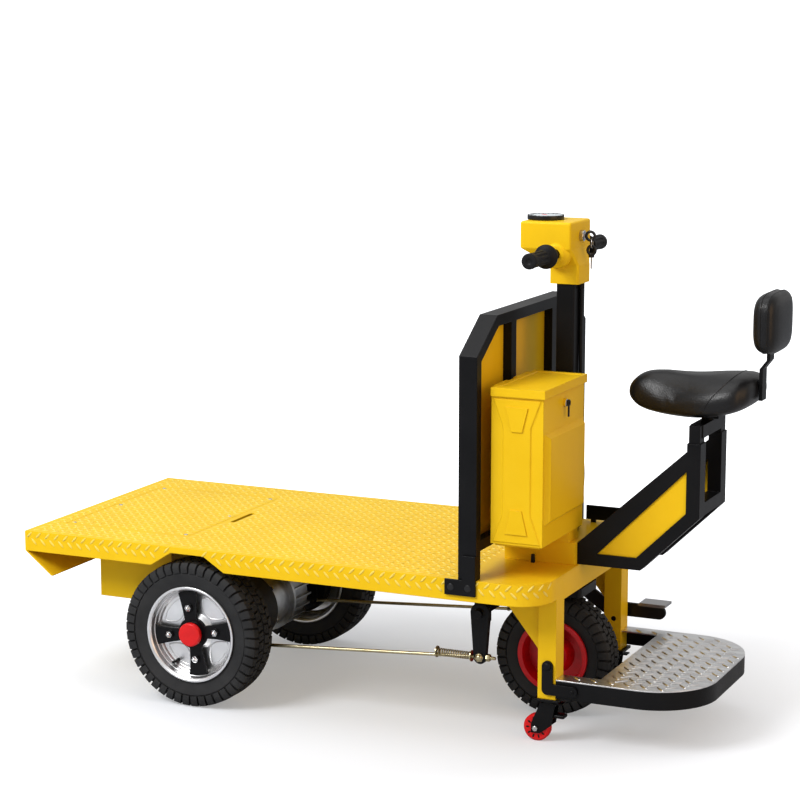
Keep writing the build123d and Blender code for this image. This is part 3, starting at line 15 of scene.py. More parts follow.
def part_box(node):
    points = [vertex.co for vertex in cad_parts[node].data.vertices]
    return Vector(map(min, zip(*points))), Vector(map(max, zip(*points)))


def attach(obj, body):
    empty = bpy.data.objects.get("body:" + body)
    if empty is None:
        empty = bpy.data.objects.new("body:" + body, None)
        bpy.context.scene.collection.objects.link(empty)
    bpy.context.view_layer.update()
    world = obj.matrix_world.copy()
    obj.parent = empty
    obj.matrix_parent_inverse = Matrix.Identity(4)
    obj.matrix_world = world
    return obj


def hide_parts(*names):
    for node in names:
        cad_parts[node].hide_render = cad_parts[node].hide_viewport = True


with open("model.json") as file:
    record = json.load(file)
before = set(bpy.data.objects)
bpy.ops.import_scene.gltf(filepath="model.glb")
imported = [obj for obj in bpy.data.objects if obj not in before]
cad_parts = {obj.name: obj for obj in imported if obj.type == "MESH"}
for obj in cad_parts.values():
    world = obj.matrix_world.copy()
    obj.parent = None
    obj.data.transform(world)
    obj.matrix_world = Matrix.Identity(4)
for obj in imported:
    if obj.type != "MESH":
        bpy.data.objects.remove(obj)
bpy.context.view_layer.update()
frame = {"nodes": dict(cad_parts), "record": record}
MM = 0.001
SIDES = (-1, 1)
UP = (0, 0, 1)

# %% [markdown]
# ## Shader expressions
# A finish is easier to read as a sum of patterns than as a drawing of boxes and wires.
# This small class wraps a socket, so that `1 - mask` or `grain * 0.2 + 0.4` adds the Math nodes itself.


# %% A socket that does arithmetic
class Value:
    """A shader socket for Python expressions: each operation adds one Math node to its tree."""

    def __init__(self, tree, socket):
        self.tree = tree
        self.socket = socket

    def node(self, kind, settings=None, sockets=None, output=0):
        """Adds a node of any kind: its settings first, then the numbers, colours or links of its sockets."""
        made = self.tree.nodes.new(kind)
        for name, setting in (settings or {}).items():
            if name == "stops":
                for stop, (place, level) in zip(made.color_ramp.elements, setting):
                    stop.position = place
                    stop.color = (level, level, level, 1.0)
            else:
                setattr(made, name, setting)
        for name, value in (sockets or {}).items():
            self.feed(made, name, value)
        return Value(self.tree, made.outputs[output])

    def feed(self, node, name, value):
        """Sets one input of a node to a number or colour, or links another value to it."""
        if isinstance(value, Value):
            self.tree.links.new(value.socket, node.inputs[name])
        else:
            node.inputs[name].default_value = value

    def math(self, operation, *values):
        """A Math node of these values."""
        return self.node("ShaderNodeMath", {"operation": operation}, dict(enumerate(values)))

    def __add__(self, other):
        return self.math("ADD", self, other)

    def __radd__(self, other):
        return self.math("ADD", other, self)

    def __sub__(self, other):
        return self.math("SUBTRACT", self, other)

    def __rsub__(self, other):
        return self.math("SUBTRACT", other, self)

    def __mul__(self, other):
        return self.math("MULTIPLY", self, other)

    def __rmul__(self, other):
        return self.math("MULTIPLY", other, self)

    def __pow__(self, other):
        return self.math("POWER", self, other)

    def noise(self, scale, detail=2.0, stretch=(1.0, 1.0, 1.0)):
        """Smooth noise over these coordinates, with so many bumps to a metre, stretched along the axes."""
        placed = self.node("ShaderNodeMapping", None, {"Vector": self, "Scale": stretch})
        return self.node("ShaderNodeTexNoise", None, {"Vector": placed, "Scale": scale, "Detail": detail})

    def ramp(self, low, high):
        """0 below one level and 1 above the other, with an even slope between them."""
        return self.node("ShaderNodeValToRGB", {"stops": [(low, 0.0), (high, 1.0)]}, {0: self})

    def blend(self, first, second):
        """A colour that goes from the first to the second as this value goes from 0 to 1."""
        return self.node("ShaderNodeMix", {"data_type": "RGBA"}, {0: self, 6: (*first, 1), 7: (*second, 1)}, 2)

    def bump(self, depth, edge=0.0):
        """A normal raised by this value times a depth in metres, on edges rounded by a radius in metres."""
        sockets = {"Height": self, "Distance": depth, "Strength": 1.0}
        if edge:
            sockets["Normal"] = self.node("ShaderNodeBevel", {"samples": 4}, {"Radius": edge})
        return self.node("ShaderNodeBump", None, sockets)


finish = {}


def new_finish(name, **constants):
    """Adds a material to `finish`; gives its shader with the constants set, and the object coordinates."""
    finish[name] = material = bpy.data.materials.new(name)
    material.use_nodes = True
    tree = material.node_tree
    shader = tree.nodes["Principled BSDF"]
    for socket, value in constants.items():
        shader.inputs[socket.replace("_", " ")].default_value = value
    coords = Value(tree, tree.nodes.new("ShaderNodeTexCoord").outputs["Object"])
    return shader, coords


def dress(shader, **values):
    """Links values to a shader's sockets, where an underscore stands for a space."""
    for socket, value in values.items():
        value.feed(shader, socket.replace("_", " "), value)


# %% [markdown]
# ## Camera, floor and light
# The photograph is taken with a long lens from the front left, a little above the deck.
# A large soft light high on the left gives the shape, a weak one overhead lifts the deck, and a warm
# bounce from the operator's side turns the yellow faces there towards orange. The white room fills the
# rest. It is brighter to the camera than to the cart, so that the background is white and the paint
# keeps its depth.

# %% Camera
IMAGE_WIDTH = 800
FOCAL_PIXELS = 2299.9
SENSOR = 36.0
CAMERA_AT = Vector((2.2456, -5.0076, 1.6932))
CAMERA_TURN, CAMERA_TILT = 0.4293, 0.1732


def look_from(place, turn, tilt):
    """Camera matrix: it looks along +Y turned towards -X by one angle and down by the other."""
    right = Vector((np.cos(turn), np.sin(turn), 0))
    ahead = Vector((-np.sin(turn) * np.cos(tilt), np.cos(turn) * np.cos(tilt), -np.sin(tilt)))
    upward = right.cross(ahead)
    columns = Matrix((right, upward, -ahead)).transposed().to_4x4()
    return Matrix.Translation(place) @ columns


scene = bpy.context.scene
camera_data = bpy.data.cameras.new("camera")
camera_data.sensor_width = SENSOR
camera_data.lens = FOCAL_PIXELS / IMAGE_WIDTH * SENSOR
camera = bpy.data.objects.new("camera", camera_data)
camera.matrix_world = look_from(CAMERA_AT, CAMERA_TURN, CAMERA_TILT)
bpy.context.collection.objects.link(camera)
scene.camera = camera
print("lens", round(camera_data.lens, 1), "mm")

# %% Room and lamps
STUDIO_LIGHT = 0.49
WHITE, WARM = (1.0, 1.0, 1.0), (1.0, 0.60, 0.26)


def soft_light(name, place, target, size, power, colour):
    """A square area light of one size and colour that faces a target."""
    data = bpy.data.lights.new(name, "AREA")
    data.size = size
    data.energy = power
    data.color = colour
    light = bpy.data.objects.new(name, data)
    light.location = place
    light.rotation_euler = (Vector(target) - Vector(place)).to_track_quat("-Z", "Y").to_euler()
    bpy.context.collection.objects.link(light)


scene.view_settings.view_transform = "Standard"
scene.view_settings.look = "Medium High Contrast"
scene.world = bpy.data.worlds.new("studio")
scene.world.use_nodes = True
room = scene.world.node_tree
to_camera = Value(room, room.nodes.new("ShaderNodeLightPath").outputs["Is Camera Ray"])
to_camera.feed(room.nodes["Background"], "Color", (*WHITE, 1.0))
to_camera.feed(room.nodes["Background"], "Strength", STUDIO_LIGHT + (1 - STUDIO_LIGHT) * to_camera)
soft_light("overhead", (-0.6, -0.2, 4.2), (0, 0, 0.3), 3.2, 36, WHITE)
soft_light("left_side", (-1.9, -3.7, 4.0), (0, 0, 0.4), 2.2, 168, WHITE)
soft_light("warm_bounce", (3.4, -1.0, 1.5), (0.3, 0, 0.6), 2.5, 24, WARM)
print("lights", len(bpy.data.lights))

# %% [markdown]
# ## Paint, rubber and plastic
# The yellow is a thick powder coat: glossy, with a faint orange peel and a little less gloss where
# hands and dust have been. On the raised tread it is glossier, and its paler colour is a painted highlight.
# The black coat is thinner and satin, tyre rubber is matt, and plastics are smooth and catch sharp lights.
# One function makes them all from two near shades, the size of their clouds, a roughness and a fine grain.
# It rounds the edges in the shader, because folded sheet and moulded rubber never end in a knife edge.


# %% Paint, rubber and plastic
def grey(dark, light):
    """Two near-black shades with the faint blue of soot."""
    return (dark, dark, dark + 0.001), (light, light, light + 0.001)


def clouded(name, shades, cloud, ramp, rough, grain, depth, edge, coat=None, **constants):
    """A coat whose colour and roughness drift in clouds, over a grain of one depth and edges of one radius.

    `cloud` and `grain` give a noise's scale and detail, `rough` and `coat` a level and what the clouds add."""
    shader, coords = new_finish(name, **constants)
    patches = coords.noise(*cloud)
    dress(shader, Base_Color=patches.ramp(*ramp).blend(*shades), Roughness=rough[0] + rough[1] * patches,
          Normal=coords.noise(*grain).bump(depth, edge))
    if coat:
        dress(shader, Coat_Weight=coat[0] + coat[1] * patches)


def yellow_paint(name, dark, light, gloss):
    """Powder coat with orange peel; the gloss is the strength of its reflections."""
    clouded(name, (dark, light), cloud=(7.0, 4.0), ramp=(0.25, 0.8), rough=(0.27, 0.14), coat=(0.02, 0.08),
            grain=(620.0, 1.0), depth=0.00006, edge=0.0022, Coat_Roughness=0.12, IOR=1.5,
            Specular_IOR_Level=gloss)


def moulded_plastic(name, dark, light, edge=0.0010):
    """Smooth plastic whose colour drifts between two near shades."""
    clouded(name, (dark, light), cloud=(24.0, 3.0), ramp=(0.3, 0.7), rough=(0.22, 0.18),
            grain=(700.0, 1.0), depth=0.00003, edge=edge, Coat_Roughness=0.08, IOR=1.5)


def grained_vinyl():
    """Seat cover: small round pebbles from a cell pattern."""
    shader, coords = new_finish("black_vinyl", IOR=1.45, Specular_IOR_Level=0.55)
    pebbles = coords.node("ShaderNodeTexVoronoi", {"feature": "SMOOTH_F1"},
                          {"Vector": coords, "Scale": 420.0, "Smoothness": 0.6})
    cloud = coords.noise(9.0, 3.0)
    dress(shader, Base_Color=cloud.blend(*grey(0.006, 0.012)), Roughness=0.28 + 0.14 * cloud,
          Normal=(1 - pebbles).bump(0.00035))


# %% [markdown]
# ## Bare metals
# The wheel discs are polished, the tread plate of the footboard is rolled and streaked, the small
# hardware is zinc plated and the motor is a sand-cast alloy. One function makes them all from a
# colour, a roughness range and the grain of their surface. The axle casting and the pedal, which is
# painted up to its bright pad, need a function each.


# %% Bare metals
def bare_metal(name, dark, light, rough, grain_scale, grain_depth, stretch=(1, 1, 1), edge=0.0012):
    """Metal with a cloudy tint between two shades, a roughness from rough[0] to rough[1] and a grain."""
    shader, coords = new_finish(name, Metallic=1.0)
    cloud = coords.noise(18.0, 4.0, stretch)
    grain = coords.noise(grain_scale, 3.0, stretch)
    dress(shader, Base_Color=cloud.ramp(0.3, 0.75).blend(dark, light),
          Roughness=rough[0] + (rough[1] - rough[0]) * grain, Normal=grain.bump(grain_depth, edge))


def cast_iron():
    """Painted casting: the lumps of the sand mould set its roughness as well as its relief."""
    shader, coords = new_finish("cast_iron", IOR=1.5, Specular_IOR_Level=0.4)
    lumps = coords.noise(260.0, 4.0)
    cloud = coords.noise(14.0, 4.0)
    dress(shader, Base_Color=cloud.blend((0.012, 0.012, 0.013), (0.035, 0.034, 0.033)),
          Roughness=0.45 + 0.25 * lumps, Normal=lumps.bump(0.0005, 0.0015))


def pedal_steel():
    """Black arm under a bright pad: the pad is what lies above one height and ahead of one x."""
    shader, coords = new_finish("pedal_steel", IOR=1.5)
    ahead = coords.node("ShaderNodeSeparateXYZ", None, {"Vector": coords}, 0).ramp(0.480, 0.484)
    above = coords.node("ShaderNodeSeparateXYZ", None, {"Vector": coords}, 2).ramp(0.2088, 0.2098)
    pad = ahead * above
    scuff = coords.noise(90.0, 4.0, (1.0, 4.0, 1.0))
    dress(shader, Base_Color=pad.blend((0.006, 0.006, 0.007), (0.45, 0.45, 0.46)), Metallic=pad,
          Roughness=0.32 + 0.2 * scuff, Normal=scuff.bump(0.0001, 0.002))


# %% All finishes
pedal_steel()
cast_iron()
grained_vinyl()
yellow_paint("yellow_paint", (0.82, 0.525, 0.016), (0.88, 0.585, 0.024), 0.08)
# Tread bars: a paler yellow, which is a painted highlight on their tops, and a stronger gloss.
yellow_paint("highlit_tread_yellow", (0.88, 0.66, 0.12), (0.92, 0.72, 0.17), 0.40)
clouded("black_paint", grey(0.004, 0.008), cloud=(11.0, 4.0), ramp=(0.3, 0.8), rough=(0.30, 0.16),
        grain=(900.0, 2.0), depth=0.00008, edge=0.0020, IOR=1.5, Specular_IOR_Level=0.28)
clouded("tyre_rubber", grey(0.026, 0.046), cloud=(16.0, 5.0), ramp=(0.35, 0.8), rough=(0.52, 0.25),
        grain=(1100.0, 2.0), depth=0.00012, edge=0.0012, IOR=1.45, Specular_IOR_Level=0.40)
clouded("black_rubber", grey(0.006, 0.012), cloud=(20.0, 3.0), ramp=(0.0, 1.0), rough=(0.42, 0.2),
        grain=(1500.0, 2.0), depth=0.00010, edge=0.0010, IOR=1.45, Specular_IOR_Level=0.35)
moulded_plastic("red_paint", (0.56, 0.004, 0.010), (0.72, 0.008, 0.016), 0.0015)
moulded_plastic("red_plastic", (0.62, 0.008, 0.010), (0.75, 0.012, 0.014))
moulded_plastic("gauge_plastic", (0.010, 0.010, 0.011), (0.018, 0.018, 0.02))
moulded_plastic("battery_case", (0.02, 0.02, 0.022), (0.035, 0.035, 0.04))
moulded_plastic("dial_face", (0.60, 0.66, 0.70), (0.74, 0.79, 0.82))
bare_metal("silver_rim", (0.80, 0.80, 0.81), (0.95, 0.95, 0.95), (0.24, 0.42), 240.0, 0.00004)
bare_metal("tread_steel", (0.66, 0.66, 0.67), (0.94, 0.94, 0.94), (0.22, 0.46), 150.0, 0.00015, (1, 3, 1))
bare_metal("zinc_steel", (0.46, 0.40, 0.24), (0.70, 0.64, 0.46), (0.2, 0.42), 600.0, 0.00003, edge=0.0005)
bare_metal("bright_steel", (0.55, 0.55, 0.56), (0.82, 0.82, 0.83), (0.12, 0.34), 500.0, 0.00003, edge=0.0006)
bare_metal("motor_alloy", (0.30, 0.31, 0.32), (0.62, 0.63, 0.64), (0.24, 0.5), 420.0, 0.00018)
print("finishes", len(finish))

# %% [markdown]
# ## Dress the CAD nodes
# Each CAD node names its finish slot in the record. Its mesh is loose triangles, so a Weld and an
# Edge Split modifier let round faces shade smoothly while folds stay crisp.

# %% Finishes and smooth shading on the CAD nodes
WELD_GAP = 0.00001
FOLD_ANGLE = np.radians(28)
slot_of = {row["node"]: row["material_slot"] for row in frame["record"]["subparts"]}
for node, obj in frame["nodes"].items():
    obj.data.materials.clear()
    obj.data.materials.append(finish["pedal_steel" if node == "brake_pedal" else slot_of[node]])
    obj.data.polygons.foreach_set("use_smooth", np.ones(len(obj.data.polygons), bool))
    obj.modifiers.new("weld", "WELD").merge_threshold = WELD_GAP
    obj.modifiers.new("folds", "EDGE_SPLIT").split_angle = FOLD_ANGLE
print("dressed", len(slot_of), "nodes")

# %% [markdown]
# ## Tools for surfaces
# A shape here is an array of points and an array of four-point faces. A grid gives the faces, and a
# formula gives the points. Poles and seams are points that coincide, and they are merged at the end.


# %% Grids, joins and pieces
def mm(*numbers):
    """Millimetres as an array of metres: several numbers, or one list of points."""
    return np.array(numbers if len(numbers) > 1 else numbers[0], float) * MM


def middle_of(node):
    """The centre of a CAD node's box."""
    low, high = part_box(node)
    return np.array((low + high) / 2)


def grid(points, close_rows=False):
    """A shape from a rows x columns x 3 array: neighbours share a face, and the last column joins the first."""
    rows, columns = points.shape[:2]
    row = np.arange(rows if close_rows else rows - 1)[:, None]
    column = np.arange(columns)[None, :]
    below, beside = (row + 1) % rows, (column + 1) % columns
    here, under = row * columns, below * columns
    corners = (here + column, here + beside, under + beside, under + column)
    faces = np.stack(np.broadcast_arrays(*corners), -1).reshape(-1, 4)
    return points.reshape(-1, 3), faces


def join(*shapes):
    """Several shapes as one, each one's face numbers shifted past the points before it."""
    counts = np.cumsum([0] + [len(points) for points, _ in shapes[:-1]])
    faces = [faces + start for (_, faces), start in zip(shapes, counts)]
    return np.concatenate([points for points, _ in shapes]), np.concatenate(faces)


def repeat(shape, places):
    """One copy of a shape for each 4 x 4 matrix in an array of them."""
    points, faces = shape
    copies = np.einsum("kij,nj->kni", places[:, :3, :3], points) + places[:, None, :3, 3]
    steps = np.arange(len(places))[:, None, None] * len(points)
    return copies.reshape(-1, 3), (faces[None] + steps).reshape(-1, 4)


def frames(origins, x_axes, z_axes):
    """4 x 4 matrices with these origins, x directions and z directions; y completes them."""
    matrices = np.zeros((len(origins), 4, 4))
    matrices[:, :3, 0] = x_axes
    matrices[:, :3, 1] = np.cross(z_axes, x_axes)
    matrices[:, :3, 2] = z_axes
    matrices[:, :3, 3] = origins
    matrices[:, 3, 3] = 1
    return matrices


def piece(name, shape, material, body, smooth_deg=35.0):
    """Makes one object of a shape, merges its seams and poles, turns its faces outwards and lets it ride."""
    mesh = bpy.data.meshes.new(name)
    mesh.from_pydata(shape[0].tolist(), [], shape[1].tolist())
    work = bmesh.new()
    work.from_mesh(mesh)
    bmesh.ops.remove_doubles(work, verts=work.verts, dist=0.000002)
    bmesh.ops.recalc_face_normals(work, faces=work.faces)
    work.to_mesh(mesh)
    work.free()
    mesh.polygons.foreach_set("use_smooth", np.ones(len(mesh.polygons), bool))
    mesh.set_sharp_from_angle(angle=np.radians(smooth_deg))
    mesh.materials.append(finish[material])
    obj = bpy.data.objects.new(name, mesh)
    bpy.context.collection.objects.link(obj)
    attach(obj, body)
    print(name, len(mesh.polygons), "faces")
    return obj


# %% Turned, swept and rounded shapes
def soft_line(corners, radius, steps=4):
    """A polyline whose inner corners are rounded: each corner becomes a quadratic curve between two cuts."""
    corners = np.asarray(corners, float)
    before, corner, after = corners[:-2], corners[1:-1], corners[2:]
    reach_in = np.linalg.norm(before - corner, axis=1, keepdims=True)
    reach_out = np.linalg.norm(after - corner, axis=1, keepdims=True)
    start = corner + (before - corner) * np.minimum(radius / reach_in, 0.48)
    end = corner + (after - corner) * np.minimum(radius / reach_out, 0.48)
    t = np.linspace(0, 1, steps + 1)[None, :, None]
    curves = (1 - t) ** 2 * start[:, None] + 2 * t * (1 - t) * corner[:, None] + t**2 * end[:, None]
    return np.concatenate([corners[:1], curves.reshape(-1, corners.shape[1]), corners[-1:]])


def turned(profile, centre, axis, steps=72, soft=None):
    """Surface of revolution: each profile point (along, radius) goes round the axis through the centre.

    `soft` gives a radius and a number of steps, by which the profile's corners are rounded first."""
    axis = np.asarray(axis, float)
    helper = np.array([0.0, 0.0, 1.0]) if abs(axis[2]) < 0.9 else np.array([1.0, 0.0, 0.0])
    across = np.cross(axis, helper)
    across /= np.linalg.norm(across)
    other = np.cross(axis, across)
    angle = np.linspace(0, 2 * np.pi, steps, endpoint=False)
    ring = np.cos(angle)[:, None] * across + np.sin(angle)[:, None] * other
    profile = soft_line(profile, *soft) if soft else np.asarray(profile, float)
    points = centre + profile[:, None, :1] * axis + profile[:, None, 1:] * ring[None]
    return grid(points)


def swept(path, radius, up, sides=10, closed=False):
    """A round tube: circles of one radius stand across a path, turned so that one diameter follows `up`."""
    path = np.asarray(path, float)
    if closed:
        ahead = np.roll(path, -1, 0) - np.roll(path, 1, 0)
    else:
        ahead = np.gradient(path, axis=0)
    ahead /= np.linalg.norm(ahead, axis=1, keepdims=True)
    side = np.cross(ahead, np.asarray(up, float))
    side /= np.linalg.norm(side, axis=1, keepdims=True)
    over = np.cross(side, ahead)
    angle = np.linspace(0, 2 * np.pi, sides, endpoint=False)[None, :, None]
    points = path[:, None] + radius * (np.cos(angle) * side[:, None] + np.sin(angle) * over[:, None])
    if not closed:
        first, last = (np.repeat(path[end, None, None], sides, 1) for end in (0, -1))
        points = np.concatenate([first, points, last])
    return grid(points, close_rows=closed)


def rounded_block(low, high, radius, steps=3):
    """A block with round edges: the patches of a sphere are pulled apart to the block's eight corners."""
    low, high = np.asarray(low, float), np.asarray(high, float)
    half = (high - low) / 2 - radius
    quarter = np.linspace(0, np.pi / 2, steps + 1)
    turn = np.concatenate([quarter + k * np.pi / 2 for k in range(4)])
    sign_x = np.repeat([1, -1, -1, 1], steps + 1)
    sign_y = np.repeat([1, 1, -1, -1], steps + 1)
    lift = np.concatenate([quarter - np.pi / 2, quarter])[:, None]
    sign_z = np.repeat([-1, 1], steps + 1)[:, None]
    x = sign_x * half[0] + radius * np.cos(lift) * np.cos(turn)
    y = sign_y * half[1] + radius * np.cos(lift) * np.sin(turn)
    z = sign_z * half[2] + radius * np.sin(lift) + 0 * turn
    points = np.stack([x, y, z], -1) + (low + high) / 2
    body_shape = grid(points)
    corner = np.arange(4) * (steps + 1)
    caps = np.stack([corner[::-1], corner + (len(lift) - 1) * len(turn)])
    return body_shape[0], np.concatenate([body_shape[1], caps])


# %% [markdown]
# ## Raised tread on the deck
# Tread plate has small lens-shaped bars at plus and minus 45 degrees. Two lattices, shifted by half a
# step, hold one direction each. The bars also run over the folded skirt, so each bar is laid on the
# plate by two coordinates: the distance along it and the height above the surface.


# %% Tread bars
def lens_bar(length, width, height, stations=7):
    """A bar along x: its width and height follow a half ellipse, with a flat underside just in the plate."""
    along = np.sin(np.linspace(-np.pi / 2, np.pi / 2, stations))
    swell = np.sqrt(np.clip(1 - along**2, 0, 1))
    across = np.array([-1.0, -0.45, 0.45, 1.0])
    level = np.array([-0.25, 1.0, 1.0, -0.25])
    points = np.empty((stations, 4, 3))
    points[..., 0] = along[:, None] * length / 2
    points[..., 1] = across * swell[:, None] * width / 2
    points[..., 2] = level * swell[:, None] * height
    return grid(points)


def lattice(low, high, pitch):
    """Points of a rectangular lattice between two corners, and of the one shifted by half a pitch."""
    columns = np.arange(np.ceil(low[0] / pitch[0]), np.floor(high[0] / pitch[0]) + 1) * pitch[0]
    rows = np.arange(np.ceil(low[1] / pitch[1]), np.floor(high[1] / pitch[1]) + 1) * pitch[1]
    first = np.stack(np.meshgrid(columns, rows, indexing="ij"), -1).reshape(-1, 2)
    return first, first + np.asarray(pitch) / 2


def level_tread(bar, lattices, keep, height):
    """Bars on a level plate at one height: plus and minus 45 degrees on the kept spots of each lattice."""
    shapes = []
    for spots, lean in zip(lattices, (1, -1)):
        kept = keep(spots)
        origins = np.column_stack([kept, np.full(len(kept), height)])
        shapes.append(repeat(bar, frames(origins, np.array([1, lean, 0]) / np.sqrt(2), UP)))
    return join(*shapes)


# %% Deck tread
deck_low, deck_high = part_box("deck_plate")
hatch_low, hatch_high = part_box("deck_hatch")
deck_top = deck_high.z
DECK_PITCH = mm(26, 30)
DECK_BAR = lens_bar(21 * MM, 6.5 * MM, 1.5 * MM)
TREAD_END_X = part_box("rail_frame")[0].x + 6 * MM
EDGE_FREE = 9 * MM
SLOT_X = hatch_high.x + 24 * MM
SLOT_HALF_LENGTH, SLOT_HALF_WIDTH = mm(16, 66)


def on_deck(spots):
    """Keeps the spots that are clear of the plate's rim, the hatch's seam and the finger slot."""
    x, y = spots.T
    inside = (x > deck_low.x + EDGE_FREE) & (x < TREAD_END_X - EDGE_FREE)
    inside &= np.abs(y) < deck_high.y - EDGE_FREE
    seam_x = np.minimum(np.abs(x - hatch_low.x), np.abs(x - hatch_high.x)) < EDGE_FREE
    seam_y = np.abs(np.abs(y) - hatch_high.y) < EDGE_FREE
    by_x = seam_x & (np.abs(y) < hatch_high.y + EDGE_FREE)
    by_y = seam_y & (x > hatch_low.x - EDGE_FREE) & (x < hatch_high.x + EDGE_FREE)
    slot = (np.abs(x - SLOT_X) < SLOT_HALF_LENGTH) & (np.abs(y) < SLOT_HALF_WIDTH)
    return spots[inside & ~by_x & ~by_y & ~slot]


deck_spots = lattice(deck_low, (TREAD_END_X, deck_high.y), DECK_PITCH)
# The deck's bars take the paler yellow of a painted highlight.
piece("deck_tread", level_tread(DECK_BAR, deck_spots, on_deck, deck_top), "highlit_tread_yellow", "chassis")

# %% Skirt tread
SKIRT_RADIUS, SKIRT_HALF = mm(86, 25)
SKIRT_PITCH = mm(26, 32)
FIRST_BAR, BAR_REACH = mm(12, 18)
CORNER_TURN = 1.35
ARCH_X = middle_of("rear_tyre_near")[0]
ARCH_FOOT, ARCH_CROWN, ARCH_RISE = mm(100, 45, 35)
skirt_run = deck_high.x - deck_low.x - SKIRT_RADIUS
skirt_mid = deck_top - SKIRT_HALF


def skirt_places(spots, lean, side):
    """Lays bars on the folded skirt: straight along the side, then round the front corner by arc length."""
    run, rise = spots.T
    turn = np.clip((run - skirt_run) / SKIRT_RADIUS, 0, np.pi / 2)
    ahead = np.stack([np.cos(turn), -side * np.sin(turn), 0 * turn], -1)
    outward = np.stack([np.sin(turn), side * np.cos(turn), 0 * turn], -1)
    centre = np.stack([deck_low.x + np.minimum(run, skirt_run), 0 * run + side * (deck_high.y - SKIRT_RADIUS),
                       skirt_mid + rise], -1)
    along = ahead / np.sqrt(2) + lean * np.array([0, 0, 1]) / np.sqrt(2)
    return frames(centre + outward * SKIRT_RADIUS, along, outward)


def on_skirt(spots):
    """Keeps the spots within the skirt's length, off its edges and clear of the leaning wheel arch."""
    run, rise = spots.T
    arch = ARCH_FOOT + (ARCH_CROWN - ARCH_FOOT) * (rise + SKIRT_HALF) / ARCH_RISE + EDGE_FREE
    inside = (run > FIRST_BAR) & (run < skirt_run + SKIRT_RADIUS * CORNER_TURN) & (np.abs(rise) < BAR_REACH)
    return spots[inside & (np.abs(deck_low.x + run - ARCH_X) >= arch)]


skirt_spots = lattice((0, -SKIRT_HALF), (skirt_run + SKIRT_RADIUS * CORNER_TURN, SKIRT_HALF), SKIRT_PITCH)
bars = [repeat(DECK_BAR, skirt_places(on_skirt(spots), lean, side))
        for side in SIDES for spots, lean in zip(skirt_spots, (-1, 1))]
# The skirt's bars take the same paler yellow of a painted highlight.
piece("skirt_tread", join(*bars), "highlit_tread_yellow", "chassis")

# %% [markdown]
# ## Tyres
# The tyre is a carcass turned from its cross-section, with rubber blocks laid on it. Cutting grooves
# into the carcass would need fine meshes, so the blocks are added instead: each is a strip of the
# outer section between two angles, and its foot ends inside the carcass. The blocks of the middle
# are closed rings of points round a small pit.


# %% Tyre blocks
PIT_RADIUS, PIT_DEPTH = mm(2.2, 2.5)


def shoulder_row(outer, inner, pitch, share, inset):
    """One shoulder block: stations along the section, and four columns from foot to top and down again."""
    across = np.stack([inner[:, 0], outer[:, 0], outer[:, 0], inner[:, 0]], 1)
    radius = np.stack([inner[:, 1], outer[:, 1], outer[:, 1], inner[:, 1]], 1)
    half = share * pitch / 2
    angle = np.array([-half, inset - half, half - inset, half]) + np.zeros_like(across)
    _, faces = grid(np.stack([across, radius, angle], -1))
    ends = np.array([[0, 1, 2, 3], [-4, -3, -2, -1]]) % across.size
    return across.ravel(), radius.ravel(), angle.ravel(), np.concatenate([faces, ends])


def pitted_block(middle, half_across, half_angle, foot, top, wheel_radius):
    """Rings of eight points: the foot, the top's edge, the pit's rim, its floor and the floor's centre."""
    square_a = np.array([1, 1, 0, -1, -1, -1, 0, 1.0])
    square_b = np.array([0, 1, 1, 1, 0, -1, -1, -1.0])
    turn = np.arange(8) * np.pi / 4
    pit_a = np.cos(turn) * PIT_RADIUS / half_across
    pit_b = np.sin(turn) * PIT_RADIUS / wheel_radius / half_angle
    floor = top - PIT_DEPTH
    rings = ((1.0, 0.0, foot), (0.94, 0.0, top), (0.0, 1.0, top), (0.0, 0.7, floor), (0.0, 0.0, floor))
    across = np.stack([middle + half_across * (s * square_a + p * pit_a) for s, p, _ in rings])
    angle = np.stack([half_angle * (s * square_b + p * pit_b) for s, p, _ in rings])
    radius = np.stack([np.full(8, level) for _, _, level in rings])
    _, faces = grid(np.stack([across, radius, angle], -1))
    return across.ravel(), radius.ravel(), angle.ravel(), faces


def round_the_wheel(block, centre, count, shift, side, half_width):
    """Copies of a block at even steps round the axle, mirrored to one side of the tyre.

    Their edges wave: the angle shifts by a sine of the place across the tread."""
    across, radius, angle, faces = block
    pitch = 2 * np.pi / count
    wave = 0.20 * pitch * np.sin(np.pi * across / half_width)
    turn = (angle + wave)[None] + ((np.arange(count) + shift) * pitch)[:, None]
    points = np.stack([
        centre[0] + radius * np.sin(turn),
        centre[1] + side * across + 0 * turn,
        centre[2] + radius * np.cos(turn),
    ], -1)
    steps = np.arange(count)[:, None, None] * len(across)
    return points.reshape(-1, 3), (faces[None] + steps).reshape(-1, 4)


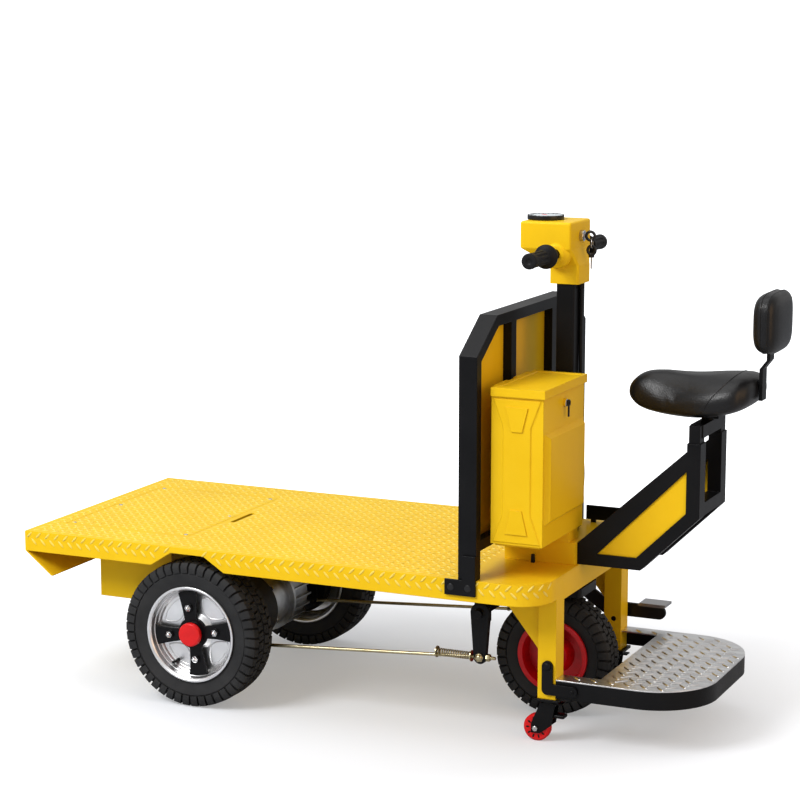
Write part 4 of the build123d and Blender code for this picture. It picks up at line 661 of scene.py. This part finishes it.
# %% Whole tyres
def tyre(name, node, body, half_width, bead, flange_radius, radius, count):
    """A tyre in the CAD tyre's place: a turned carcass with leaning flanks and four rows of blocks.

    Sections are (across, radius) points, given as drops from the tyre's outer corner."""
    centre = middle_of(node)
    bead_half, bead_radius = bead
    corner = np.array([half_width, radius])
    crown = [(0, radius - 6 * MM)]
    flank = np.vstack([corner - mm([(14, 6), (7, 12), (4.5, 28), (2.2, 30)]),
                       [(bead_half - 0.2 * MM, flange_radius), (bead_half - 1.4 * MM, bead_radius)]])
    section = np.vstack([crown, flank, flank[::-1] * (-1, 1), crown])
    shapes = [turned(section, centre, (0, 1, 0), 120, (2.5 * MM, 3))]
    inner_edge = 0.52 * half_width
    outer = np.vstack([corner - mm([(0.8, 27), (0.3, 20), (0.4, 11), (6.0, 2.2)]),
                       [(inner_edge, radius - 0.4 * MM)]])
    inner = np.vstack([corner - mm([(8, 27), (10, 20), (12, 12), (16, 9)]), [(inner_edge, radius - 9 * MM)]])
    pitch = 2 * np.pi / count
    shoulder = shoulder_row(outer, inner, pitch, 0.86, 1.0 * MM / radius)
    middle = pitted_block(half_width * 0.26, half_width * 0.215, 0.42 * pitch, radius - 9 * MM,
                          radius - 0.2 * MM, radius)
    for side, shift in ((1, 0.0), (-1, 0.5)):
        shapes.append(round_the_wheel(shoulder, centre, count, shift, side, half_width))
        shapes.append(round_the_wheel(middle, centre, count, shift + 0.5, side, half_width))
    made = piece(name, join(*shapes), "tyre_rubber", body, smooth_deg=38)
    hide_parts(node)


REAR_TYRE = dict(half_width=50 * MM, bead=mm(40, 112), flange_radius=119 * MM, radius=180 * MM, count=46)
FRONT_TYRE = dict(half_width=42 * MM, bead=mm(32, 82), flange_radius=88.5 * MM, radius=145 * MM, count=37)
for name in ("near", "far"):
    tyre(f"rear_tread_{name}", f"rear_tyre_{name}", f"rear_wheel_{name}", **REAR_TYRE)
tyre("front_tread", "front_tyre", "front_wheel", **FRONT_TYRE)

# %% [markdown]
# ## Rear wheels
# The rim and its disc are one spun and polished dish, so one closed profile is turned round the axle.
# A bead is pressed round each window between the spider's arms, drawn as a thin tube on the disc. The
# wheel nuts are domed, the hub cap is a soft red button and a valve stands in the dish.


# %% Heads of bolts and nuts
def dome_head(radius, height, sides=16):
    """A round head: a short neck, then a quarter ellipse from its rim to its pole."""
    lift = np.linspace(0, np.pi / 2, 6)
    dome = np.stack([height * (0.3 + 0.7 * np.sin(lift)), radius * np.cos(lift)], -1)
    return turned(np.concatenate([[(-0.5 * MM, radius)], dome]), np.zeros(3), UP, sides)


def hex_head(radius, height):
    """A six-sided head with a chamfered top, and a round stud that stands a little above it."""
    nut = [(-0.5 * MM, radius), (0.8 * height, radius), (height, 0.84 * radius), (height, 0)]
    stud = [(0, 0.45 * radius), (1.2 * height, 0.45 * radius), (1.35 * height, 0.3 * radius),
            (1.35 * height, 0)]
    return join(turned(nut, np.zeros(3), UP, 6), turned(stud, np.zeros(3), UP, 12))


def stand(head, spots, axes):
    """One head on each spot, its z along the axis given there; x is any direction across it."""
    spots = np.atleast_2d(np.asarray(spots, float))
    axes = np.broadcast_to(np.asarray(axes, float), spots.shape)
    across = np.cross(axes, (0.31, 0.42, 0.85))
    across /= np.linalg.norm(across, axis=1, keepdims=True)
    return repeat(head, frames(spots, across, axes))


def stand_both(head, x, y, z):
    """A head on each side of the cart, at plus and minus y, facing outwards."""
    return join(*(stand(head, (x, side * y, z), (0, side, 0)) for side in SIDES))


def wheel_spots(centre, side, radius, out, degrees):
    """Spots on a circle across an axle along y, with an angle from the wheel's rear side upwards."""
    turn = np.radians(np.asarray(degrees, float))
    return np.stack([
        centre[0] - side * radius * np.cos(turn),
        centre[1] + side * out + 0 * turn,
        centre[2] + radius * np.sin(turn),
    ], -1)


# %% Rims, nuts, caps and valves
RIM_PROFILE = mm([
    (0, 111.9), (40.2, 111.9), (40.2, 118.4), (46, 118.4), (46, 113.5), (41, 109), (30, 106.5), (29, 104.6),
    (19, 103.2), (17.6, 100.5), (12, 97), (10.4, 90), (10.2, 46), (21.9, 36), (21.9, 16), (-29, 16),
    (-29, 34), (3.6, 38), (3.8, 97), (-8, 105.5), (-41, 106.4), (-46, 113.5), (-46, 118.4), (-40.2, 118.4),
    (-40.2, 111.9), (0, 111.9),
])
CAP_PROFILE = mm([(34, 0), (34, 29), (50, 29), (50, 0)])
VALVE_PROFILE = mm([(9, 5.5), (14, 5), (18, 4), (32, 4), (32, 3.2), (38, 3.2), (38, 0)])
WINDOW_RADII = mm([52, 70, 90, 92, 92, 89, 70, 53])
WINDOW_DEGREES = np.array([42, 31, 27, 45, 64, 79, 76, 66])
NUT_DEGREES = 8 + 90 * np.arange(4)
NUT_CIRCLE, NUT_FACE, DISC_FACE, VALVE_CIRCLE = mm(63.4, 34, 10.4, 93)
VALVE_DEGREES = 236
DOMED_NUT = join(hex_head(8.5 * MM, 5 * MM), dome_head(6.5 * MM, 10.5 * MM))
for name, side in (("near", -1.0), ("far", 1.0)):
    body = f"rear_wheel_{name}"
    centre = middle_of(f"rear_tyre_{name}")
    axle = (0, side, 0)
    rim = piece(f"rear_disc_{name}", turned(RIM_PROFILE, centre, axle, 96, (1.8 * MM, 3)),
                "silver_rim", body, smooth_deg=50)
    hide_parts(f"rear_rim_{name}")
    beads = []
    for quarter in range(4):
        corners = wheel_spots(centre, side, WINDOW_RADII, DISC_FACE, WINDOW_DEGREES + 90 * quarter)
        window = soft_line(np.concatenate([corners[-1:], corners, corners[:1]]), 9 * MM, 4)[1:-1]
        beads.append(swept(window, 1.5 * MM, axle, 8, closed=True))
    piece(f"disc_beads_{name}", join(*beads), "silver_rim", body)
    nuts = wheel_spots(centre, side, NUT_CIRCLE, NUT_FACE, NUT_DEGREES)
    piece(f"wheel_nuts_{name}", stand(DOMED_NUT, nuts, axle), "bright_steel", body)
    cap = piece(f"hub_button_{name}", turned(CAP_PROFILE, centre, axle, 64, (5 * MM, 5)),
                "red_plastic", body, smooth_deg=60)
    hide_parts(f"hub_cap_{name}")
    valve = wheel_spots(centre, side, VALVE_CIRCLE, 0.0, VALVE_DEGREES)
    piece(f"valve_{name}", turned(VALVE_PROFILE, valve, axle, 14, (1 * MM, 2)), "black_rubber", body)

# %% [markdown]
# ## Casters
# The small casters keep their CAD shape. They get the bolt that carries each roller, black marks round
# its hub that are painted shade for its moulded pits, and the short foot tab of the caster's lock.

# %% Bolts, painted pit shade and tabs of the casters
# The pits are raised black marks on the roller's red side: painted shade of moulded pits.
PIT_SHADE_BAR = lens_bar(9 * MM, 5 * MM, 0.5 * MM)
PIT_CIRCLE = 21 * MM
PIT_DEGREES = 36 * np.arange(10)
TAB_X, TAB_Z = mm(436, 60)
TAB_SIZE = mm(40, 26, 9)
for name in ("near", "far"):
    low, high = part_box(f"caster_wheel_{name}")
    fork_low, fork_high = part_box(f"caster_fork_{name}")
    roller = middle_of(f"caster_wheel_{name}")
    fork_half, roller_half = (fork_high.y - fork_low.y) / 2, (high.y - low.y) / 2
    heads, pit_shades = [], []
    for side in SIDES:
        outer_face = (0, side, 0)
        heads.append(stand(hex_head(7 * MM, 3.5 * MM), roller + (0, side * fork_half, 0), outer_face))
        spots = wheel_spots(roller, side, PIT_CIRCLE, roller_half, PIT_DEGREES)
        outward = (spots - roller) * (1, 0, 1) / PIT_CIRCLE
        pit_shades.append(repeat(PIT_SHADE_BAR, frames(spots, outward, outer_face)))
    piece(f"caster_bolts_{name}", join(*heads), "bright_steel", f"caster_{name}")
    piece(f"caster_pit_shades_{name}", join(*pit_shades), "black_rubber", f"caster_roller_{name}")
    tab_low = np.array([TAB_X, roller[1] - TAB_SIZE[1] / 2, TAB_Z])
    piece(f"caster_tab_{name}", rounded_block(tab_low, tab_low + TAB_SIZE, 4 * MM), "black_paint",
          f"caster_{name}")

# %% [markdown]
# ## Footboard tread
# The board is bright tread plate with larger bars than the deck: long lenses at plus and minus 45
# degrees on a square lattice. The same lens and lattice functions serve, with other sizes.

# %% Bars of the footboard
board_low, board_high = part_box("footboard_plate")
BOARD_BAR = lens_bar(34 * MM, 11 * MM, 2.4 * MM, 9)
BOARD_PITCH = mm(40, 40)
BOARD_CORNER, BOARD_EDGE = mm(150, 13)
NOTCH_X, NOTCH_HALF = mm(552, 205)


def on_board(spots):
    """Keeps the spots whose bars stay on the board: off its edges, its round corners and the wheel notch."""
    x, y = spots[:, 0], np.abs(spots[:, 1])
    inside = (x > board_low.x + BOARD_EDGE) & (x < board_high.x - BOARD_EDGE) & (y < board_high.y - BOARD_EDGE)
    over_x, over_y = x - board_high.x + BOARD_CORNER, y - board_high.y + BOARD_CORNER
    corner = (over_x > 0) & (over_y > 0) & (np.hypot(over_x, over_y) > BOARD_CORNER - BOARD_EDGE)
    notch = (x < NOTCH_X + BOARD_EDGE) & (y < NOTCH_HALF + BOARD_EDGE)
    return spots[inside & ~corner & ~notch]


board_spots = lattice(board_low, board_high, BOARD_PITCH)
board_bars = level_tread(BOARD_BAR, board_spots, on_board, board_high.z)
piece("footboard_tread", board_bars, "tread_steel", "footboard")

# %% [markdown]
# ## Steering head
# The head is a moulded yellow housing. Its bosses round the handlebar, the ribbed grips, the gauge and
# the keys are turned or swept from short profiles. The grips' slots are a ripple of the radius.


# %% Grips
GRIP_PROFILE = mm([
    (0, 11.2), (0, 28), (9, 28), (14, 21), (24, 17.4), (60, 17.4), (98, 17.4), (101, 18.2), (112, 18.2),
    (112, 7), (110, 5), (110, 0),
])
BAR_X, _, BAR_Z = middle_of("handlebar")
BAR_MIDDLE = np.array([BAR_X, 0, BAR_Z])
GRIP_START = 125 * MM
GRIP_RADIUS, SLOT_DEPTH = mm(17.4, 2.2)
RIBS_FROM, RIBS_TO, RIB_STEPS = 30 * MM, 94 * MM, 24


def ribbed_grip(side):
    """Turned sleeve whose radius dips in ten slots: a steep cosine of the angle, within a window along it."""
    along, radius = soft_line(GRIP_PROFILE, 2.5 * MM, 4).T
    fill = np.linspace(RIBS_FROM, RIBS_TO, RIB_STEPS)
    at = int(np.searchsorted(along[:len(along) // 2 + 4], RIBS_FROM))
    at_end = int(np.flatnonzero(along > RIBS_TO)[0])
    along = np.concatenate([along[:at], fill, along[at_end:]])[:, None]
    radius = np.concatenate([radius[:at], np.full(RIB_STEPS, GRIP_RADIUS), radius[at_end:]])[:, None]
    turn = np.linspace(0, 2 * np.pi, 120, endpoint=False)[None, :]
    window = np.clip((along - 31 * MM) / (5 * MM), 0, 1) * np.clip((92 * MM - along) / (5 * MM), 0, 1)
    slots = np.clip((np.cos(10 * turn) + 0.1) / 0.5, 0, 1) * window
    radius = radius - SLOT_DEPTH * slots
    points = np.stack([BAR_X + radius * np.cos(turn), side * (GRIP_START + along) + 0 * turn,
                       BAR_Z + radius * np.sin(turn)], -1)
    return grid(points)


grips = piece("grip_sleeves", join(*map(ribbed_grip, SIDES)), "black_rubber", "steering", smooth_deg=50)
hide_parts("grips")

# %% Bosses and the switch on the bar
BOSS_PROFILE = mm([(52, 12), (52, 35), (60, 34), (65, 28), (69, 23), (73, 20), (73, 12)])
bosses = [turned(BOSS_PROFILE, BAR_MIDDLE, (0, side, 0), 64, (5 * MM, 5)) for side in SIDES]
piece("bar_bosses", join(*bosses), "yellow_paint", "steering", smooth_deg=60)
CLAMP_PROFILE = mm([(98, 11.1), (98, 17), (118, 17), (118, 11.1)])
clamp = turned(CLAMP_PROFILE, BAR_MIDDLE, (0, 1, 0), 32, (2 * MM, 3))
switch_case = rounded_block(BAR_MIDDLE + mm(-11, 96, -52), BAR_MIDDLE + mm(11, 120, -12), 5 * MM)
piece("bar_switch", join(clamp, switch_case), "gauge_plastic", "steering")
toggle = stand(dome_head(7 * MM, 9 * MM), BAR_MIDDLE + mm(11, 108, -22), (1, 0, 0))
piece("switch_toggle", toggle, "bright_steel", "steering")

# %% Gauge
gauge_at = middle_of("gauge") * (1, 0, 0) + (0, 0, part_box("gauge")[0].z)
BEZEL_PROFILE = mm([(0, 0), (0, 43), (10.9, 43), (10.9, 40.6), (9.6, 40.2), (9.6, 0)])
bezel = piece("gauge_bezel", turned(BEZEL_PROFILE, gauge_at, UP, 72, (1.0 * MM, 3)),
              "gauge_plastic", "steering")
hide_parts("gauge")
DIAL_PROFILE = mm([(9.4, 0), (9.4, 40.1), (9.9, 40.1), (9.9, 0)])
piece("gauge_dial", turned(DIAL_PROFILE, gauge_at, UP, 72), "dial_face", "steering")
TICK_CIRCLE = 33 * MM
dial_at = gauge_at + mm(0, 0, 10)
tick_turn = np.radians(np.linspace(-30, 210, 13))
tick_out = np.stack([-np.sin(tick_turn), np.cos(tick_turn), 0 * tick_turn], -1)
tick = rounded_block(mm(-4, -0.8, -0.3), mm(4, 0.8, 0.3), 0.2 * MM, 1)
ticks = repeat(tick, frames(dial_at + tick_out * TICK_CIRCLE, tick_out, UP))
piece("gauge_ticks", ticks, "gauge_plastic", "steering")
needle_place = frames(dial_at[None] + mm(-6, 5, 0), (-0.77, 0.64, 0), UP)
piece("gauge_needle", repeat(lens_bar(30 * MM, 2.4 * MM, 0.8 * MM), needle_place), "red_plastic", "steering")


# %% Locks and keys
def ring(centre, first, second, thickness, up, sides, count=32):
    """Wire round an ellipse: the centre plus one half axis times a cosine and the other times a sine."""
    turn = np.linspace(0, 2 * np.pi, count, endpoint=False)[:, None]
    return swept(centre + np.cos(turn) * first + np.sin(turn) * second, thickness, up, sides, closed=True)


def key_block(lock, low, high, radius):
    """A block with round edges between two corners, in millimetres from a lock's face."""
    return rounded_block(lock + mm(*low), lock + mm(*high), radius * MM)


lock = middle_of("ignition_lock") * (0, 0, 1) + (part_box("ignition_lock")[1].x, 0, 0)
LOCK_PROFILE = mm([(-0.5, 12.6), (1.0, 12.6), (2.2, 11), (2.2, 8), (1.0, 7.2), (1.0, 0)])
piece("lock_face", turned(LOCK_PROFILE, lock, (1, 0, 0), 40), "bright_steel", "steering")
bows = join(
    ring(lock + mm(16, 0, 0), mm(10.5, 0, 0), mm(0, 0, 10), 3.4 * MM, (0, 1, 0), 10),
    ring(lock + mm(19, 0, -33), mm(9.5, 0, 0), mm(0, 0, 10), 3.4 * MM, (0, 1, 0), 10),
    key_block(lock, (12, -2.6, -50), (26, 2.6, -39), 2.4),
)
piece("key_bows", bows, "gauge_plastic", "steering")
blades = join(
    key_block(lock, (-1, -1.2, -3.5), (8, 1.2, 3.5), 0.8),
    key_block(lock, (17, -1.0, -76), (21, 1.0, -48), 0.8),
    ring(lock + mm(20, 0, -16.5), mm(0, 5.5, 0), mm(0, 0, 10.5), 0.9 * MM, (1, 0, 0), 8),
)
piece("key_blades", blades, "bright_steel", "steering")
box_lock = mm(453, -184, 789)
box_key = join(
    ring(box_lock + mm(5, 0, 0), mm(0, 6, 0), mm(0, 0, 6), 2.6 * MM, (1, 0, 0), 8, 24),
    key_block(box_lock, (3, -2.6, -32), (7, 2.6, -6), 1.6),
)
piece("box_key", box_key, "gauge_plastic", "chassis")
piece("box_lock_ring", turned(LOCK_PROFILE * 0.7, box_lock, (1, 0, 0), 32), "bright_steel", "chassis")

# %% [markdown]
# ## Control cable
# One sheathed cable hangs down the front of the steering column, from the head to a grommet near the
# foot. It is a NURBS curve through the CAD route's points, so that it bends as smoothly as a real one.

# %% Column cable
CABLE_ROUTE = mm([
    (417.1, 0, 1040), (417.1, 0, 960), (417.0, 0, 880), (419.1, 0, 800), (418.1, 0, 720), (425.1, 0, 640),
    (429.1, 0, 580), (423.1, 0, 520), (417.0, 0, 478),
])
cable_line = bpy.data.curves.new("column_cable_line", "CURVE")
cable_line.dimensions = "3D"
cable_line.bevel_depth = 4 * MM
cable_line.bevel_resolution = 3
cable_line.use_fill_caps = True
spline = cable_line.splines.new("NURBS")
spline.points.add(len(CABLE_ROUTE) - 1)
spline.points.foreach_set("co", np.column_stack([CABLE_ROUTE, np.ones(len(CABLE_ROUTE))]).ravel())
spline.order_u = 3
spline.use_endpoint_u = True
cable_line.materials.append(finish["black_rubber"])
cable = bpy.data.objects.new("control_cable", cable_line)
bpy.context.collection.objects.link(cable)
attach(cable, "steering")
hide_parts("column_cable")
GROMMET_PROFILE = mm([(-5, 4.2), (-5, 7.5), (5, 7.5), (5, 4.2)])
grommets = [turned(GROMMET_PROFILE, end, UP, 20, (1.5 * MM, 3))
            for end in (CABLE_ROUTE[0] - mm(0, 0, 8), CABLE_ROUTE[-1] + mm(0.9, 0, 8))]
piece("cable_grommets", join(*grommets), "black_rubber", "steering")

# %% [markdown]
# ## Brake rods and small fasteners
# Each rod pushes its lever through a spring between two washers, and a lock nut sits on the thread
# behind the pin. The coil is a tube along a helix. The lever is a forging, drawn as one outline round its
# two eyes. The other heads are repeats of two small shapes.

# %% Springs, washers and nuts on the brake rods
PIN_X, PIN_Z, ROD_Y = mm(263, 181, 226)
COIL_TURNS, COIL_STEPS = 14, 14
COIL_ENDS = mm(-107, -25)
COIL_RADIUS, COIL_WIRE = mm(8.5, 1.3)
WASHER_PROFILE = mm([(-1.2, 4.1), (-1.2, 13.5), (1.2, 13.5), (1.2, 4.1)])
THREAD_PROFILE = mm([(10, 0), (10, 4), (36, 4), (38, 3), (38, 0)])


def rod_fittings(side):
    """Spring, two washers, the rod's threaded end and its nut, along x at one rod."""
    pin = np.array([PIN_X, side * ROD_Y, PIN_Z])
    rod = (1, 0, 0)
    turn = np.linspace(0, 2 * np.pi * COIL_TURNS, COIL_TURNS * COIL_STEPS)
    helix = np.stack([np.interp(turn, (0, turn[-1]), COIL_ENDS), COIL_RADIUS * np.cos(turn),
                      COIL_RADIUS * np.sin(turn)], -1)
    return join(
        swept(pin + helix, COIL_WIRE, (0.3, 0.5, 0.8), 6),
        turned(WASHER_PROFILE, pin - mm(110, 0, 0), rod, 24),
        turned(WASHER_PROFILE, pin - mm(22, 0, 0), rod, 24),
        turned(THREAD_PROFILE, pin, rod, 14),
        stand(hex_head(9 * MM, 9 * MM), pin + mm(16, 0, 0), rod),
    )


piece("brake_springs", join(*map(rod_fittings, SIDES)), "zinc_steel", "chassis")

# %% Forged brake levers
LEVER_TOP_Z = 287 * MM
TOP_EYE, PIN_EYE, LEVER_HALF = mm(24, 16, 7)


def forged_lever(side):
    """A closed plate across y: an outline round two circles, drawn in at both faces to round the edges."""
    turn = np.linspace(0, 2 * np.pi, 48, endpoint=False)
    upper = np.sin(turn) >= 0
    radius = np.where(upper, TOP_EYE, PIN_EYE)
    eye_z = np.where(upper, LEVER_TOP_Z, PIN_Z)
    outline = np.stack([PIN_X + radius * np.cos(turn), eye_z + radius * np.sin(turn)], -1)
    middle = np.array([PIN_X, (LEVER_TOP_Z + PIN_Z) / 2])
    drawn_in = np.array([0.0, 0.93, 1.0, 1.0, 0.93, 0.0])[:, None, None]
    across = mm([-7, -7, -5, 5, 7, 7])
    flat = middle + drawn_in * (outline - middle)
    points = np.stack([flat[..., 0], side * ROD_Y + across[:, None] + 0 * turn, flat[..., 1]], -1)
    return grid(points)


LEVER_PIN = join(hex_head(11 * MM, 5 * MM), dome_head(9 * MM, 10 * MM))
lever_face = ROD_Y + LEVER_HALF
lever_caps = stand_both(dome_head(12 * MM, 4 * MM), PIN_X, lever_face, LEVER_TOP_Z)
piece("lever_forgings", join(*map(forged_lever, SIDES), lever_caps), "black_paint", "chassis")
piece("lever_pins", stand_both(LEVER_PIN, PIN_X, lever_face, PIN_Z), "zinc_steel", "chassis")

# %% Bolts on the chassis and the footboard links
hatch_spots = [(x * MM, y * MM, deck_top) for x in (-844, -523) for y in (-222, 0, 222)]
piece("hatch_screws", stand(dome_head(5.5 * MM, 1.6 * MM), hatch_spots, UP), "bright_steel", "chassis")
rail_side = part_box("rail_brackets")[1].y
rail_heads = [stand_both(dome_head(8 * MM, 1.5 * MM), x * MM, rail_side, 377 * MM) for x in (242, 284)]
piece("rail_bolts", join(*rail_heads), "gauge_plastic", "chassis")
gear_spots = wheel_spots(mm(-448, -40, 180), 1.0, 79 * MM, 0.0, 60 * np.arange(6) + 22)
piece("gearbox_bolts", stand(hex_head(7 * MM, 6 * MM), gear_spots, (0, 1, 0)), "bright_steel", "chassis")
PEG_PROFILE = mm([(-1, 0), (-1, 5), (20, 4.5), (20, 0)])
peg_at = np.array([354 * MM, -130 * MM, deck_top])
piece("deck_peg", turned(PEG_PROFILE, peg_at, UP, 16, (2 * MM, 3)), "black_rubber", "chassis")
link_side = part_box("footboard_links")[1].y
pivot_heads = stand_both(dome_head(9.5 * MM, 4.5 * MM), 440 * MM, link_side, 187 * MM)
foot_heads = stand_both(dome_head(5 * MM, 2.5 * MM), 500 * MM, link_side, 133 * MM)
piece("link_bolts", join(pivot_heads, foot_heads), "black_paint", "footboard")

# %% [markdown]
# ## Seat
# The saddle and the backrest are foam under grained vinyl. Each starts as a loft, a row of round sections
# along x, a little smaller than the foam. It is remeshed to an even skin and blown up as cloth, so that the
# edges swell and the flats crown. The seams are sewn on last, because the remesh would erase them.


# %% Start shapes of the padded pieces
# Saddle: x, half width, top and underside. Backrest: x and the share of its full size.
SADDLE_LINES = mm([
    (540, 0, 800, 800), (541, 12, 808, 789), (545, 24, 817, 781), (553, 34, 828, 773), (566, 43, 839, 765),
    (590, 51, 848, 757), (625, 60, 846, 752), (665, 74, 843, 750), (705, 93, 843, 751), (740, 106, 846, 754),
    (772, 112, 850, 760), (803, 113, 854, 768), (825, 109, 856, 777), (839, 101, 855, 784), (846, 88, 851, 790),
    (849, 62, 843, 800), (850, 0, 822, 822),
])
PAD_X = mm([843, 844, 847, 853, 861, 871, 879, 887, 894, 900, 904, 906, 907])
PAD_SHARE = np.array([0, 0.42, 0.68, 0.86, 0.95, 1.0, 0.985, 1.0, 0.965, 0.86, 0.68, 0.42, 0])
PAD_HALF_WIDTH, PAD_HALF_HEIGHT, PAD_Z = mm(91, 69, 976)
EASE_REACH = 18 * MM


def round_power(value, power):
    """A sine or cosine drawn towards its ends: its size to a power below 1, with its sign kept."""
    return np.sign(value) * np.abs(value) ** power


def eased_line(at, places, values):
    """A polyline with its corners eased: the mean over a window of 36 mm, which narrows towards both ends."""
    reach = np.minimum(EASE_REACH, np.minimum(at - places[0], places[-1] - at))
    return np.interp(at[..., None] + reach[..., None] * np.linspace(-1, 1, 11), places, values).mean(-1)


def saddle_surface(along, turn):
    """Section at each x: half width times a squared-off cosine, and from the widest level up or down a sine."""
    half, top, low = (eased_line(along, SADDLE_LINES[:, 0], SADDLE_LINES[:, k]) for k in (1, 2, 3))
    widest = low + 0.36 * (top - low)
    upper = np.sin(turn) > 0
    rise = round_power(np.sin(turn), np.where(upper, 0.85, 0.5))
    y = half * round_power(np.cos(turn), 0.72)
    z = widest + np.where(upper, top - widest, widest - low) * rise
    return np.stack([along + 0 * turn, y, z], -1)


def pad_surface(along, turn):
    """A rounded rectangle at each x: squared-off cosine and sine, scaled to a crown at both ends."""
    scale = np.interp(along, PAD_X, PAD_SHARE)
    y = scale * PAD_HALF_WIDTH * round_power(np.cos(turn), 0.50)
    z = PAD_Z + scale * PAD_HALF_HEIGHT * round_power(np.sin(turn), 0.50)
    return np.stack([along + 0 * turn, y, z], -1)


around = np.linspace(0, 2 * np.pi, 72, endpoint=False)
stations = (695 - 155 * np.cos(np.linspace(0, np.pi, 61))) * MM
saddle_start = grid(saddle_surface(stations[:, None], around))
pad_start = grid(pad_surface(PAD_X[:, None], around))
print("start shapes", len(saddle_start[1]), len(pad_start[1]), "faces")


# %% Padded pieces
CLOTH_FRAMES = 20


def bake_modifiers(obj):
    """Replaces an object's mesh by what its modifiers show, and removes them."""
    shown = obj.evaluated_get(bpy.context.evaluated_depsgraph_get())
    mesh = bpy.data.meshes.new_from_object(shown)
    obj.modifiers.clear()
    obj.data = mesh


def read_points(obj):
    """The points of an object's mesh as an array."""
    points = np.empty(len(obj.data.vertices) * 3, np.float32)
    obj.data.vertices.foreach_get("co", points)
    return points.reshape(-1, 3).astype(float)


def ease(obj, rounds):
    """Draws every point towards the middle of its neighbours, a number of times."""
    smoother = obj.modifiers.new("ease", "SMOOTH")
    smoother.factor = 0.5
    smoother.iterations = rounds
    bake_modifiers(obj)


def blow_up(obj, limit):
    """Swells a closed skin as cloth under pressure; no point moves further than the limit."""
    start = read_points(obj)
    cloth = obj.modifiers.new("foam", "CLOTH").settings
    cloth.use_pressure = True
    cloth.uniform_pressure_force = 4.0
    cloth.effector_weights.gravity = 0.0
    cloth.tension_stiffness = 40
    cloth.bending_stiffness = 8
    for step in range(1, CLOTH_FRAMES + 1):
        scene.frame_set(step)
    bake_modifiers(obj)
    scene.frame_set(1)
    moved = read_points(obj) - start
    far = np.linalg.norm(moved, axis=1, keepdims=True)
    moved *= np.minimum(1, limit / np.maximum(far, 1e-9))
    obj.data.vertices.foreach_set("co", (start + moved).astype(np.float32).ravel())
    obj.data.update()


def padded_piece(name, start, node, voxel, limit, rounds):
    """A start shape as foam: remeshed, eased, swollen, eased again and subdivided once."""
    obj = piece(name, start, "black_vinyl", "seat")
    skin = obj.modifiers.new("skin", "REMESH")
    skin.mode = "VOXEL"
    skin.voxel_size = voxel
    bake_modifiers(obj)
    ease(obj, rounds)
    blow_up(obj, limit)
    ease(obj, rounds)
    obj.data.materials.clear()
    obj.data.materials.append(finish["black_vinyl"])
    obj.data.polygons.foreach_set("use_smooth", np.ones(len(obj.data.polygons), bool))
    finer = obj.modifiers.new("finer", "SUBSURF")
    finer.levels = 1
    finer.render_levels = 1
    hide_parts(node)
    print(name, len(obj.data.polygons), "faces after the remesh")
    return obj


saddle = padded_piece("saddle_cover", saddle_start, "saddle", 5 * MM, 5 * MM, 10)
backrest = padded_piece("backrest_cover", pad_start, "backrest_pad", 4 * MM, 4 * MM, 4)


# %% Seams
def on_skin(obj, points):
    """The nearest points of a padded piece's skin to these points."""
    return np.array([obj.closest_point_on_mesh(Vector(point))[1] for point in points])


over = np.linspace(-0.12 * np.pi, 1.12 * np.pi, 64)
seam_x = 806 * MM - 52 * MM * (1 - np.clip(np.sin(over), -0.35, 1))
saddle_seam = on_skin(saddle, saddle_surface(seam_x, over))
pad_seams = [on_skin(backrest, pad_surface(np.full(72, x * MM), around)) for x in (871, 887)]
seams = [swept(saddle_seam, 1.1 * MM, (1, 0, 0.3), 8)]
seams += [swept(seam, 1.3 * MM, (1, 0, 0), 8, closed=True) for seam in pad_seams]
piece("seat_seams", join(*seams), "black_vinyl", "seat")

# %% [markdown]
# ## The floor
# A wide pale floor takes the soft shadow under the cart. It glows a little to the camera, more with the
# distance from the cart, so that it fades into the white background.

# %% Floor
FLOOR_REACH = 30.0
NEAR_GLOW = 0.28
floor_mesh = bpy.data.meshes.new("floor")
floor_corners = FLOOR_REACH * np.array([(-1, -1, 0), (1, -1, 0), (1, 1, 0), (-1, 1, 0)])
floor_mesh.from_pydata(floor_corners.tolist(), [], [(0, 1, 2, 3)])
floor = bpy.data.objects.new("floor", floor_mesh)
floor_shader, floor_coords = new_finish(
    "floor", Roughness=0.7, Base_Color=(0.53, 0.55, 0.585, 1), Specular_IOR_Level=0.0, Emission_Strength=1.0)
distance = floor_coords.node("ShaderNodeVectorMath", {"operation": "LENGTH"}, {0: floor_coords}, 1)
seen = floor_coords.node("ShaderNodeLightPath")
fade = NEAR_GLOW + (1 - NEAR_GLOW) * (0.1 * distance).ramp(0.06, 0.24)
dress(floor_shader, Emission_Color=(seen * fade).blend((0, 0, 0), WHITE))
floor_mesh.materials.append(finish["floor"])
bpy.context.collection.objects.link(floor)
